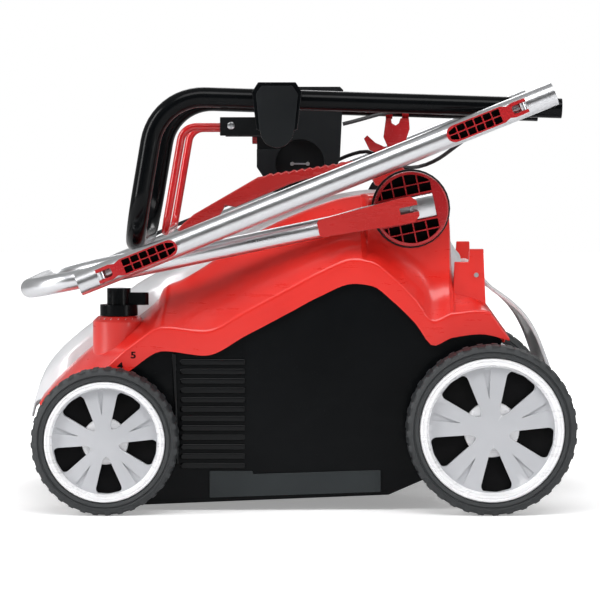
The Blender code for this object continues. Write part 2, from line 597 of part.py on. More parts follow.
def make_motor(mats):
    """Stator, rotor with its shaft, bearings, can, fan boss, blade and bolt."""
    x = BLADE_X
    base = CHAMBER_ROOF_Z + ROOF_THICK + GAP
    top = base + MOTOR_HEIGHT
    ring_piece("stator", ROTOR_R + RUNNING_GAP, STATOR_R, (x, 0, base + 0.018),
               (x, 0, top - 0.018), mats["copper"], 18)
    can = [(STATOR_R + GAP, 0), (STATOR_R + 0.003, 0), (STATOR_R + 0.003, MOTOR_HEIGHT),
           (BEARING_R + GAP, MOTOR_HEIGHT), (BEARING_R + GAP, MOTOR_HEIGHT - 0.004),
           (STATOR_R + GAP, MOTOR_HEIGHT - 0.004)]
    turned("motor_can", can, (x, 0, base), (0, 0, 1), mats["silver"], 18)
    shaft = [(0, 0), (SHAFT_R, 0), (SHAFT_R, base + 0.022 - 0.036),
             (ROTOR_R, base + 0.022 - 0.036), (ROTOR_R, top - 0.022 - 0.036),
             (SHAFT_R, top - 0.022 - 0.036), (SHAFT_R, top + 0.003 - 0.036),
             (0, top + 0.003 - 0.036)]
    turned("rotor", shaft, (x, 0, 0.036), (0, 0, 1), mats["steel"], 20)
    ring_piece("upper_bearing", SHAFT_R + RUNNING_GAP, BEARING_R, (x, 0, top - 0.009),
               (x, 0, top + 0.001), mats["steel"], 20)
    ring_piece("lower_bearing", SHAFT_R + RUNNING_GAP, BEARING_R, (x, 0, base - 0.006),
               (x, 0, base + 0.004), mats["steel"], 20)
    carrier = [(SHAFT_R + GAP, 0), (0.030, 0), (0.030, 0.006), (0.014, 0.010), (0.014, 0.040),
               (SHAFT_R + GAP, 0.040)]
    turned("blade_carrier", carrier, (x, 0, BLADE_Z + BLADE_THICK + GAP), (0, 0, 1),
           mats["black"], 20)
    half, reach = BLADE_WIDTH / 2, BLADE_R
    outline = [(x - reach, -half), (x - 0.05, -half * 0.8), (x + 0.05, -half * 0.8),
               (x + reach, -half * 0.55), (x + reach, half), (x + 0.05, half * 0.8),
               (x - 0.05, half * 0.8), (x - reach, half * 0.55)]
    blade = prism("blade", outline, BLADE_Z, BLADE_Z + BLADE_THICK, mats["steel"], "Z")
    hole = rod("cut", (x, 0, 0.0), (x, 0, 0.06), 0.0043, mats["steel"])
    combine(blade, [hole], "DIFFERENCE")
    bolt = [(0, -0.007), (0.010, -0.007), (0.010, -GAP), (0.004, -GAP),
            (0.004, 0.036 - BLADE_Z - 2 * GAP), (0, 0.036 - BLADE_Z - 2 * GAP)]
    turned("blade_bolt", bolt, (x, 0, BLADE_Z), (0, 0, 1), mats["steel"], 12)


def pin_holes(tube, hinge, plane, mats):
    """Bore a tube across at a hinge, on both sides or on the side that the plane names."""
    cuts = [rod("cut", at(hinge, low), at(hinge, high), BOLT_R + GAP, mats["steel"], 10)
            for low, high in plane]
    return combine(tube, cuts, "DIFFERENCE")


def make_handles(mats):
    """Lower U tube, two middle bars and the upper U tube, bored where their bolts pass."""
    nose = step_from(PIVOT, LOWER_ANGLE, LOWER_LENGTH)
    front = [at(PIVOT, -INNER_PLANE), at(nose, -INNER_PLANE), at(nose, INNER_PLANE),
             at(PIVOT, INNER_PLANE)]
    body = rounded_path(front, BEND_R)
    flats = [(-0.0265, 0), (0.046, 0), (0.092, 1)]
    ends = []
    for distance, is_round in flats:
        spot = step_from(PIVOT, LOWER_ANGLE, distance)
        shape = (1, 1) if is_round else (PLATE_HALF_Y / LOWER_TUBE_R, PLATE_HALF_Z / LOWER_TUBE_R)
        ends.append((spot, shape))
    path = [at(spot, -INNER_PLANE) for spot, _ in ends] + body[1:-1]
    path += [at(spot, INNER_PLANE) for spot, _ in reversed(ends)]
    scales = [shape for _, shape in ends] + [(1, 1)] * (len(body) - 2)
    scales += [shape for _, shape in reversed(ends)]
    lower = swept("lower_handle", path, LOWER_TUBE_R, mats["tube"], TUBE_WALL, scales=scales)
    low, high = INNER_PLANE - 0.024, OUTER_PLANE + 0.010
    both = [(-high, -low), (low, high)]
    pin_holes(lower, PIVOT, both, mats)
    pin_holes(lower, MIDDLE_HINGE, both, mats)
    start = step_from(MIDDLE_HINGE, MIDDLE_ANGLE, -MIDDLE_FRONT_OVER)
    end = step_from(UPPER_HINGE, MIDDLE_ANGLE, MIDDLE_REAR_OVER)
    for word, side in (("left", LEFT), ("right", RIGHT)):
        bar = swept(f"middle_bar_{word}", [at(start, side * OUTER_PLANE),
                                           at(end, side * OUTER_PLANE)],
                    MIDDLE_TUBE_R, mats["tube"], TUBE_WALL, sides=16)
        span = [tuple(sorted((side * (OUTER_PLANE - 0.03), side * (OUTER_PLANE + 0.03))))]
        pin_holes(bar, MIDDLE_HINGE, span, mats)
        pin_holes(bar, UPPER_HINGE, span, mats)
    tail = step_from(UPPER_HINGE, UPPER_ANGLE, -UPPER_OVER)
    corners = [at(tail, -INNER_PLANE), at(UPPER_CORNER, -INNER_PLANE), at(GRIP_BAR, -INNER_PLANE),
               at(GRIP_BAR, INNER_PLANE), at(UPPER_CORNER, INNER_PLANE), at(tail, INNER_PLANE)]
    upper = swept("upper_handle", rounded_path(corners, BEND_R), UPPER_TUBE_R,
                  mats["black_tube"], TUBE_WALL)
    pin_holes(upper, UPPER_HINGE, both, mats)


def make_pivot_clamps(mats):
    """Black seat on each tower, red disc with a channel for the flattened tube end."""
    for word, side in (("left", LEFT), ("right", RIGHT)):
        out = (0, side, 0)
        seat_at = TOWER_OUT + GAP
        ring_piece(f"pivot_seat_{word}", BOLT_R + GAP, SEAT_R, at(PIVOT, side * seat_at),
                   at(PIVOT, side * (seat_at + SEAT_THICK)), mats["black"], 32)
        disc_at = seat_at + SEAT_THICK + GAP
        profile = [(BOLT_R + GAP, 0), (DISC_R, 0), (DISC_R, DISC_THICK - 0.002),
                   (DISC_R - 0.002, DISC_THICK), (BOLT_R + GAP, DISC_THICK)]
        disc = turned(f"pivot_disc_{word}", profile, at(PIVOT, side * disc_at), out,
                      mats["red"], 32)
        floor = INNER_PLANE - PLATE_HALF_Y - GAP
        room = PLATE_HALF_Z + GAP
        corners = [step_from(step_from(PIVOT, LOWER_ANGLE, along), LOWER_ANGLE + 90, across)
                   for along, across in ((-0.0268, -room), (0.06, -room), (0.06, room),
                                         (-0.0268, room))]
        low, high = sorted((side * floor, side * (OUTER_PLANE + 0.010)))
        combine(disc, [prism("cut", corners, low, high, mats["red"])], "DIFFERENCE")


def slanted(hinge, angle, points):
    """Outline points given along and across a handle tube, turned into (x, z)."""
    return [step_from(step_from(hinge, angle, along), angle + 90, across)
            for along, across in points]


def make_pivot_lever(mats, word, side):
    """The solid red cam lever over a pivot disc, with its slot, and the long pivot bolt."""
    inner = INNER_PLANE + PLATE_HALF_Y + 2 * GAP
    pin_y = inner + 0.0095
    outer = inner + 0.0185
    outline = [(-0.0070, 0.0085), (-0.0070, -0.0085), (-0.0010, -0.0145), (0.0130, -0.0145),
               (0.1040, -0.0098), (0.1065, -0.0070), (0.1065, 0.0070), (0.1040, 0.0098),
               (0.0130, 0.0145), (-0.0010, 0.0145)]
    low, high = sorted((side * inner, side * outer))
    lever = prism(f"pivot_lever_{word}", slanted(PIVOT, LOWER_ANGLE, outline), low, high,
                  mats["red"])
    cuts = []
    tube_side = INNER_PLANE + LOWER_TUBE_R + 0.0012
    for span, wide, floor in (((-0.012, 0.0135), 0.0037, outer + 0.05),
                              ((-0.012, -0.0005), 0.05, inner + 0.004),
                              ((0.044, 0.12), 0.05, tube_side)):
        corners = [(span[0], -wide), (span[1], -wide), (span[1], wide), (span[0], wide)]
        low, high = sorted((side * (inner - 0.03), side * floor))
        cuts.append(prism("cut", slanted(PIVOT, LOWER_ANGLE, corners), low, high, mats["red"]))
    combine(lever, cuts, "DIFFERENCE")
    bolt = rod(f"pivot_bolt_{word}", at(PIVOT, side * (TOWER_OUT - 0.022)),
               at(PIVOT, side * (pin_y + 0.002)), BOLT_R, mats["steel"], 10)
    head = rod("head", at(PIVOT, side * (TOWER_OUT - 0.028)), at(PIVOT, side * (TOWER_OUT - 0.020)),
               0.0065, mats["steel"], 6)
    combine(bolt, [head], "UNION")


def make_quick_lever(mats, name, hinge, side, direction, inner_face):
    """A quick-release lever along a middle bar: two prongs, a handle and its barrel bolt."""
    inner = OUTER_PLANE + MIDDLE_TUBE_R + 2 * GAP
    pin_y = inner + BARREL_R + 0.0012
    outer = inner + LEVER_THICK
    angle = MIDDLE_ANGLE if direction > 0 else MIDDLE_ANGLE + 180
    tip = LEVER_LENGTH - LEVER_HALF
    outline = [(-0.0045, -0.0085), (0.016, -0.0085), (0.024, -LEVER_HALF)]
    outline += [(tip + a, b) for a, b in arc((0, 0), LEVER_HALF, -90, 90, 6)]
    outline += [(0.024, LEVER_HALF), (0.016, 0.0085), (-0.0045, 0.0085)]
    low, high = sorted((side * inner, side * outer))
    lever = prism(name, slanted(hinge, angle, outline), low, high, mats["red"])
    fork = [(-0.006, -0.0046), (0.0125, -0.0046), (0.0125, 0.0046), (-0.006, 0.0046)]
    low, high = sorted((side * (OUTER_PLANE - 0.04), side * (OUTER_PLANE + 0.06)))
    relief = slanted(hinge, angle, [(-0.006, -0.012), (-0.001, -0.012), (-0.001, 0.012),
                                    (-0.006, 0.012)])
    combine(lever, [prism("cut", slanted(hinge, angle, fork), low, high, mats["red"])],
            "DIFFERENCE")
    low, high = sorted((side * (inner - 0.01), side * (inner + 0.0015)))
    combine(lever, [prism("cut", relief, low, high, mats["red"])], "DIFFERENCE")
    across = (Vector(at(step_from(hinge, angle, 0.0), 0))
              - Vector(at(step_from(hinge, angle + 90, 1.0), 0))).normalized()
    bolt = rod(name.replace("lever", "bolt"), at(hinge, side * inner_face),
               at(hinge, side * pin_y), BOLT_R, mats["steel"], 10)
    centre = at(hinge, side * pin_y)
    barrel = rod("barrel", centre - across * 0.0042, centre + across * 0.0042, BARREL_R,
                 mats["steel"], 12)
    head = rod("head", at(hinge, side * (inner_face - 0.0045)), at(hinge, side * inner_face), 0.0058,
               mats["steel"], 6)
    return combine(bolt, [barrel, head], "UNION")


def make_levers(mats):
    head_face = {"middle": INNER_PLANE - LOWER_TUBE_R - GAP,
                 "upper": INNER_PLANE - UPPER_TUBE_R - GAP}
    for word, side in (("left", LEFT), ("right", RIGHT)):
        make_pivot_lever(mats, word, side)
        make_quick_lever(mats, f"middle_lever_{word}", MIDDLE_HINGE, side, 1,
                         head_face["middle"])
        make_quick_lever(mats, f"upper_lever_{word}", UPPER_HINGE, side, -1, head_face["upper"])


def upper_z(x):
    """Height of the upper handle's straight tube at x."""
    run = (x - UPPER_HINGE[0]) * math.tan(math.radians(UPPER_ANGLE))
    return UPPER_HINGE[1] + run


def tube_cutter(mats, side, radius):
    start = Vector((-0.12, side * INNER_PLANE, upper_z(-0.12)))
    end = Vector((0.20, side * INNER_PLANE, upper_z(0.20)))
    return rod("cut", start, end, radius, mats["black"], 20)


def make_controls(mats):
    """Bail bracket, switch housing, start button, inlet pins and the red bail with its arms."""
    middle_x = (BRACKET_FRONT_X + BRACKET_REAR_X) / 2
    half = (BRACKET_REAR_X - BRACKET_FRONT_X) / 2
    outline = [(BRACKET_FRONT_X + 0.007, BRACKET_TOP_Z), (BRACKET_FRONT_X, BRACKET_TOP_Z - 0.011),
               (BRACKET_FRONT_X + 0.005, BRACKET_BOTTOM_Z + 0.022)]
    outline += arc((middle_x, BRACKET_BOTTOM_Z + 0.020), half - 0.009, 180, 360, 8)
    outline += [(BRACKET_REAR_X - 0.005, BRACKET_BOTTOM_Z + 0.022),
                (BRACKET_REAR_X, BRACKET_TOP_Z - 0.011), (BRACKET_REAR_X - 0.007, BRACKET_TOP_Z)]
    bracket = prism("bail_bracket", outline, -BRACKET_OUT, -BRACKET_IN, mats["black"])
    pivot_pin = rod("pin", (BAIL_X, -BRACKET_IN - 0.004, BAIL_Z),
                    (BAIL_X, -BAIL_HALF + ARM_THICK / 2 - 0.002, BAIL_Z), 0.0035, mats["black"])
    combine(bracket, [tube_cutter(mats, LEFT, UPPER_TUBE_R + GAP)], "DIFFERENCE")
    combine(bracket, [pivot_pin], "UNION")

    low_z, top_z = HOUSING_BOTTOM_Z, HOUSING_TOP_Z
    outline = [(HOUSING_FRONT_X, low_z + 0.030), (HOUSING_FRONT_X, top_z - 0.004),
               (HOUSING_FRONT_X + 0.004, top_z), (HOUSING_REAR_X - 0.004, top_z),
               (HOUSING_REAR_X, top_z - 0.004), (HOUSING_REAR_X - 0.004, low_z + 0.040),
               (HOUSING_REAR_X - 0.018, low_z + 0.006), (HOUSING_REAR_X - 0.030, low_z),
               (HOUSING_FRONT_X + 0.020, low_z)]
    housing = prism("switch_housing", outline, HOUSING_IN, HOUSING_OUT, mats["black"])
    mouth = HOUSING_IN - 0.01
    inlet_at = inlet_place()
    recess = rod("cut", at(inlet_at, mouth), at(inlet_at, HOUSING_IN + INLET_DEPTH), INLET_R,
                 mats["black"], 28)
    well = rod("cut", (HOUSING_FRONT_X - 0.01, BUTTON_Y, BUTTON_Z),
               (HOUSING_FRONT_X + 0.016, BUTTON_Y, BUTTON_Z), BUTTON_R + 0.0004, mats["black"], 20)
    exit_hole = rod("cut", (HOUSING_REAR_X - 0.012, CABLE_START[1], CABLE_START[2]),
                    (HOUSING_REAR_X + 0.01, CABLE_START[1], CABLE_START[2]), CABLE_R + GAP,
                    mats["black"])
    arm_y = BAIL_HALF + ARM_THICK / 2
    arm_room = box("cut", (HOUSING_FRONT_X - 0.01, HOUSING_IN - 0.01, BAIL_Z - 0.026),
                   (BAIL_X + 0.018, arm_y + 0.001, BAIL_Z + 0.022), mats["black"])
    combine(housing, [tube_cutter(mats, RIGHT, UPPER_TUBE_R + GAP), recess, well, exit_hole,
                      arm_room], "DIFFERENCE")
    post = rod("post", (BAIL_X, arm_y + 0.006, BAIL_Z), (BAIL_X, BAIL_HALF - ARM_THICK / 2 + 0.002,
               BAIL_Z), 0.0035, mats["black"])
    combine(housing, [post], "UNION")
    rod("start_button", (HOUSING_FRONT_X - BUTTON_PROUD, BUTTON_Y, BUTTON_Z),
        (HOUSING_FRONT_X + 0.010, BUTTON_Y, BUTTON_Z), BUTTON_R, mats["dark_red"], 20)
    pins = []
    for i, offset in enumerate((-0.0095, 0.0095)):
        pins.append(rod("inlet_pins" if i == 0 else "pin",
                        at((inlet_at[0] + offset, inlet_at[1]), HOUSING_IN + INLET_DEPTH - 0.019),
                        at((inlet_at[0] + offset, inlet_at[1]), HOUSING_IN + INLET_DEPTH - GAP),
                        0.0024, mats["steel"], 12))
    web = box("web", (inlet_at[0] - 0.0105, HOUSING_IN + INLET_DEPTH - 0.003, inlet_at[1] - 0.001),
              (inlet_at[0] + 0.0105, HOUSING_IN + INLET_DEPTH - GAP, inlet_at[1] + 0.001),
              mats["steel"])
    combine(pins[0], [pins[1], web], "UNION")
    make_bail(mats)


def inlet_place():
    return ((HOUSING_FRONT_X + HOUSING_REAR_X) / 2, HOUSING_BOTTOM_Z + 0.034)


def make_bail(mats):
    """The red bail rod, bent like the grip end, and the two black arms it is held by."""
    start = (ARM_FRONT_X - GAP, BAIL_Z - 0.0005)
    bend = (-0.127, BAIL_Z - 0.0005)
    foot = (-0.1477, 0.3117)
    corners = [at(start, -BAIL_HALF), at(bend, -BAIL_HALF), at(foot, -BAIL_HALF),
               at(foot, BAIL_HALF), at(bend, BAIL_HALF), at(start, BAIL_HALF)]
    swept("bail", rounded_path(corners, 0.018, 4), BAIL_R, mats["red"], sides=10)
    for word, side in (("left", LEFT), ("right", RIGHT)):
        low, high = sorted((side * (BAIL_HALF - ARM_THICK / 2), side * (BAIL_HALF + ARM_THICK / 2)))
        outline = [(ARM_FRONT_X, BAIL_Z - ARM_HALF_Z), (BAIL_X, BAIL_Z - ARM_HALF_Z)]
        outline += arc((BAIL_X, BAIL_Z), ARM_HALF_Z, -60, 60, 4)
        outline += [(BAIL_X, BAIL_Z + ARM_HALF_Z), (ARM_FRONT_X, BAIL_Z + ARM_HALF_Z)]
        arm = prism(f"bail_arm_{word}", outline, low, high, mats["black"])
        bore = rod("cut", (BAIL_X, low - 0.01, BAIL_Z), (BAIL_X, high + 0.01, BAIL_Z), 0.0041,
                   mats["black"])
        combine(arm, [bore], "DIFFERENCE")


CABLE_START = (0.0578, 0.134, 0.4365)


def make_cord_hook(mats):
    """The red cord hook that hangs from the right tube of the upper handle."""
    x, z = HOOK_X, upper_z(HOOK_X)
    low, high = INNER_PLANE - 0.0140, INNER_PLANE - 0.0025
    drops = [(-0.014, 0.013), (-0.008, 0.013), (-0.007, 0.019), (-0.002, 0.022), (0.002, 0.019),
             (0.004, 0.013), (0.014, 0.013), (0.015, 0.026), (0.011, 0.038), (0.013, 0.050),
             (0.013, 0.066), (0.009, 0.067), (0.004, 0.058), (-0.010, 0.062), (-0.034, 0.052),
             (-0.041, 0.038), (-0.037, 0.034), (-0.027, 0.043), (-0.011, 0.050), (-0.017, 0.036)]
    room = z - PIVOT_Z - DISC_R - HOOK_CLEAR - HOOK_CLIP
    share = room / (max(drop for _, drop in drops) - HOOK_CLIP)
    outline = [(x + along, z - HOOK_CLIP - (drop - HOOK_CLIP) * share) for along, drop in drops]
    hook = prism("cord_hook", outline, low, high, mats["red"])
    clips = []
    for shift in (-0.014, 0.006):
        points = [(INNER_PLANE + a, z + b)
                  for a, b in arc((0, 0), UPPER_TUBE_R + 0.0030, 50, 310, 14)]
        clips.append(prism("clip", points, x + shift, x + shift + 0.008, mats["red"], "X"))
    combine(hook, clips, "UNION")
    return combine(hook, [tube_cutter(mats, RIGHT, UPPER_TUBE_R + GAP)], "DIFFERENCE")


def smooth_route(points, step):
    """Points at even steps along a smooth curve through the route's own points."""
    route = [Vector(p) for p in points]
    padded = [route[0] * 2 - route[1]] + route + [route[-1] * 2 - route[-2]]
    dense = []
    for a, b, c, d in zip(padded, padded[1:], padded[2:], padded[3:]):
        for i in range(24):
            t = i / 24
            dense.append(0.5 * ((2 * b) + (c - a) * t + (2 * a - 5 * b + 4 * c - d) * t * t
                                + (3 * b - a - 3 * c + d) * t ** 3))
    dense.append(route[-1])
    total = sum((q - p).length for p, q in zip(dense, dense[1:]))
    count = max(2, round(total / step))
    even, walked, target = [dense[0]], 0.0, total / count
    for p, q in zip(dense, dense[1:]):
        length = (q - p).length
        while walked + length >= target * len(even) - 1e-9 and len(even) < count:
            even.append(p.lerp(q, (target * len(even) - walked) / length))
        walked += length
    even.append(dense[-1])
    return even


UPPER_ROUTE = [CABLE_START, (0.070, 0.1345, 0.4395), (0.090, 0.139, 0.4450), (0.110, 0.1425, 0.4500),
               (0.150, 0.1440, 0.4530), (0.190, 0.1440, 0.4545), (0.225, 0.1435, 0.4545),
               (0.2420, 0.1425, 0.4534), (0.2512, 0.1378, 0.4528), (0.2512, 0.1263, 0.4528)]
MIDDLE_ROUTE = [(0.2512, 0.1257, 0.4528), (0.2512, 0.1142, 0.4528), (0.2450, 0.1080, 0.4460),
                (0.2320, 0.1130, 0.4370), (0.2150, 0.1280, 0.4240), (0.1960, 0.1500, 0.4090),
                (0.1780, 0.1720, 0.3950), (0.1600, 0.1830, 0.3862), (0.1420, 0.1800, 0.3830),
                (0.1240, 0.1722, 0.3860), (0.1060, 0.1716, 0.3960), (0.0880, 0.1740, 0.4030),
                (0.0680, 0.1850, 0.3990), (0.0480, 0.1905, 0.3905), (0.0000, 0.1905, 0.3713),
                (-0.0600, 0.1905, 0.3472), (-0.1200, 0.1905, 0.3231), (-0.1600, 0.1905, 0.3070),
                (-0.1720, 0.1905, 0.3015), (-0.1800, 0.1905, 0.2966)]


def make_cables(mats):
    """The black cable, held by the handle all the way, in one run for each handle part."""
    for name, route in (("cable_upper", UPPER_ROUTE), ("cable_middle", MIDDLE_ROUTE)):
        curve = bpy.data.curves.new(name, "CURVE")
        curve.dimensions = "3D"
        curve.bevel_depth = CABLE_R
        curve.bevel_resolution = 2
        curve.use_fill_caps = True
        points = smooth_route(route, CABLE_STEP)
        spline = curve.splines.new("POLY")
        spline.points.add(len(points) - 1)
        for slot, point in zip(spline.points, points):
            slot.co = (*point, 1.0)
        curve.materials.append(mats["cable"])
        obj = bpy.data.objects.new(name, curve)
        bpy.context.scene.collection.objects.link(obj)


def main():
    for obj in list(bpy.data.objects):
        bpy.data.objects.remove(obj, do_unlink=True)
    mats = make_finishes()
    make_deck(mats)
    make_top_cover(mats)
    make_hood(mats)
    make_flap(mats)
    make_carry_handle(mats)
    for place, wheel_x, radius in (("front", FRONT_WHEEL_X, FRONT_WHEEL_R),
                                   ("rear", REAR_WHEEL_X, REAR_WHEEL_R)):
        make_axle(mats, place, wheel_x, radius)
        for word, side in (("left", LEFT), ("right", RIGHT)):
            make_wheel(mats, f"{place}_{word}", side, wheel_x, radius)
    make_height_knob(mats)
    make_motor(mats)
    make_handles(mats)
    make_pivot_clamps(mats)
    make_levers(mats)
    make_controls(mats)
    make_cord_hook(mats)
    make_cables(mats)


main()
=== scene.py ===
import json
import math

import bmesh
import bpy
from mathutils import Matrix, Vector


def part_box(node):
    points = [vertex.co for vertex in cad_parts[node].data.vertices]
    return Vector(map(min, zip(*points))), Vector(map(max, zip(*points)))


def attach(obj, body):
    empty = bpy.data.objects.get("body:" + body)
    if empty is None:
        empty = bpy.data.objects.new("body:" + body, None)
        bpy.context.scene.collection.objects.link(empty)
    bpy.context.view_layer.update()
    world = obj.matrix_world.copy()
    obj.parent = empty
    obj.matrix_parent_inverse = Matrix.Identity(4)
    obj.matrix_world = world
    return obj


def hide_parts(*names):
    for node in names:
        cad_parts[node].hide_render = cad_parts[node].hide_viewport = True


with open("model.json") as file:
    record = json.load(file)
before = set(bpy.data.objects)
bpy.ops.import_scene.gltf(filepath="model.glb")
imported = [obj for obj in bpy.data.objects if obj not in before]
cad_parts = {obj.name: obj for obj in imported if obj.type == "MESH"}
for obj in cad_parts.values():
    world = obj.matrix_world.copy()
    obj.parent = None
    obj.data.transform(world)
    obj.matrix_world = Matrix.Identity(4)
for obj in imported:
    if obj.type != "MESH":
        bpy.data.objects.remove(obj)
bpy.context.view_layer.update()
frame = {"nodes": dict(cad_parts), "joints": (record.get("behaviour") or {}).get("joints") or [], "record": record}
cadNodes = frame["nodes"]
record = frame["record"]
bodyOfNode = {node: body for body, members in record["behaviour"]["bodies"].items() for node in members}
jointAt = {joint["name"]: Vector(joint["pos_m"]) for joint in frame["joints"] if joint.get("pos_m")}
sides = (("left", -1), ("right", 1))
print("frame loaded:", len(cadNodes), "nodes")


# Shared shader effects

def newGroup(name, inputs, outputs):
    group = bpy.data.node_groups.new(name, "ShaderNodeTree")
    for label, value in inputs.items():
        socket = group.interface.new_socket(label, in_out="INPUT", socket_type="NodeSocketFloat")
        socket.default_value = value
    for label in outputs:
        group.interface.new_socket(label, in_out="OUTPUT", socket_type="NodeSocketFloat")
    return group, group.nodes.new("NodeGroupInput"), group.nodes.new("NodeGroupOutput")


def addNode(tree, kind, links=None, **values):
    node = tree.nodes.new(kind)
    for key, value in values.items():
        setattr(node, key, value)
    for socket, source in (links or {}).items():
        if hasattr(source, "links"):
            tree.links.new(source, node.inputs[socket])
        else:
            node.inputs[socket].default_value = source
    return node


def scaledSpot(group, given):
    spot = addNode(group, "ShaderNodeTexCoord")
    scaled = addNode(group, "ShaderNodeVectorMath", {0: spot.outputs["Object"]}, operation="SCALE")
    group.links.new(given.outputs["Scale"], scaled.inputs["Scale"])
    return scaled.outputs["Vector"]


def moldedSkinGroup():   # orange peel and fine grain, with a slow cloud as the mask
    group, given, put = newGroup("moldedSkin", {"Scale": 1.0, "Fine": 0.5}, ["Height", "Mask"])
    where = scaledSpot(group, given)
    peel = addNode(group, "ShaderNodeTexNoise", {"Vector": where, "Scale": 260.0, "Detail": 2.0})
    fine = addNode(group, "ShaderNodeTexNoise", {"Vector": where, "Scale": 2400.0, "Detail": 1.0})
    cloud = addNode(group, "ShaderNodeTexNoise", {"Vector": where, "Scale": 9.0, "Detail": 4.0,
                                                  "Roughness": 0.6})
    share = addNode(group, "ShaderNodeMath", {0: fine.outputs["Fac"], 1: given.outputs["Fine"]},
                    operation="MULTIPLY")
    height = addNode(group, "ShaderNodeMath", {0: peel.outputs["Fac"], 1: share.outputs[0]},
                     operation="ADD")
    spread = addNode(group, "ShaderNodeMapRange", {"Value": cloud.outputs["Fac"], "From Min": 0.35,
                                                   "From Max": 0.65})
    group.links.new(height.outputs[0], put.inputs["Height"])
    group.links.new(spread.outputs["Result"], put.inputs["Mask"])
    return group


def handlingWearGroup():   # wipe marks and a few specks in the roughness
    group, given, put = newGroup("handlingWear", {"Scale": 1.0, "Low": 0.2, "High": 0.35},
                                 ["Roughness"])
    where = scaledSpot(group, given)
    stretched = addNode(group, "ShaderNodeMapping", {"Vector": where, "Scale": (1.0, 1.0, 7.0)})
    wipes = addNode(group, "ShaderNodeTexNoise", {"Vector": stretched.outputs["Vector"],
                                                  "Scale": 14.0, "Detail": 5.0, "Roughness": 0.7})
    specks = addNode(group, "ShaderNodeTexNoise", {"Vector": where, "Scale": 620.0, "Detail": 0.0})
    dust = addNode(group, "ShaderNodeMapRange", {"Value": specks.outputs["Fac"], "From Min": 0.70,
                                                 "From Max": 0.76, "To Max": 0.2})
    both = addNode(group, "ShaderNodeMath", {0: wipes.outputs["Fac"], 1: dust.outputs["Result"]},
                   operation="ADD")
    rough = addNode(group, "ShaderNodeMapRange", {"Value": both.outputs[0], "From Min": 0.3,
                                                  "From Max": 0.9})
    group.links.new(given.outputs["Low"], rough.inputs["To Min"])
    group.links.new(given.outputs["High"], rough.inputs["To Max"])
    group.links.new(rough.outputs["Result"], put.inputs["Roughness"])
    return group


def edgeWearGroup():   # rubbed corners, broken up by noise
    group, given, put = newGroup("edgeWear", {"Amount": 0.5}, ["Mask"])
    shape = addNode(group, "ShaderNodeNewGeometry")
    spot = addNode(group, "ShaderNodeTexCoord")
    rub = addNode(group, "ShaderNodeTexNoise", {"Vector": spot.outputs["Object"], "Scale": 55.0,
                                                "Detail": 4.0})
    edge = addNode(group, "ShaderNodeMapRange", {"Value": shape.outputs["Pointiness"],
                                                 "From Min": 0.53, "From Max": 0.62})
    broken = addNode(group, "ShaderNodeMath", {0: edge.outputs["Result"], 1: rub.outputs["Fac"]},
                     operation="MULTIPLY")
    mask = addNode(group, "ShaderNodeMath", {0: broken.outputs[0], 1: given.outputs["Amount"]},
                   operation="MULTIPLY")
    group.links.new(mask.outputs[0], put.inputs["Mask"])
    return group


def drawnLinesGroup():   # fine lines along a drawn tube, in its own unrolled surface
    group, given, put = newGroup("drawnLines", {"Lines": 300.0, "Length": 6.0}, ["Height", "Mask"])
    spot = addNode(group, "ShaderNodeTexCoord")
    parts = addNode(group, "ShaderNodeSeparateXYZ", {0: spot.outputs["UV"]})
    around = addNode(group, "ShaderNodeMath", {0: parts.outputs["X"], 1: given.outputs["Lines"]},
                     operation="MULTIPLY")
    along = addNode(group, "ShaderNodeMath", {0: parts.outputs["Y"], 1: given.outputs["Length"]},
                    operation="MULTIPLY")
    unrolled = addNode(group, "ShaderNodeCombineXYZ", {"X": around.outputs[0],
                                                       "Y": along.outputs[0]})
    lines = addNode(group, "ShaderNodeTexNoise", {"Vector": unrolled.outputs[0], "Scale": 1.0,
                                                  "Detail": 3.0, "Roughness": 0.7})
    mask = addNode(group, "ShaderNodeMapRange", {"Value": lines.outputs["Fac"], "From Min": 0.3,
                                                 "From Max": 0.7})
    group.links.new(lines.outputs["Fac"], put.inputs["Height"])
    group.links.new(mask.outputs["Result"], put.inputs["Mask"])
    return group


moldedSkin, handlingWear = moldedSkinGroup(), handlingWearGroup()
edgeWear, drawnLines = edgeWearGroup(), drawnLinesGroup()


def useGroup(tree, group, **values):
    node = tree.nodes.new("ShaderNodeGroup")
    node.node_tree = group
    for label, value in values.items():
        node.inputs[label].default_value = value
    return node


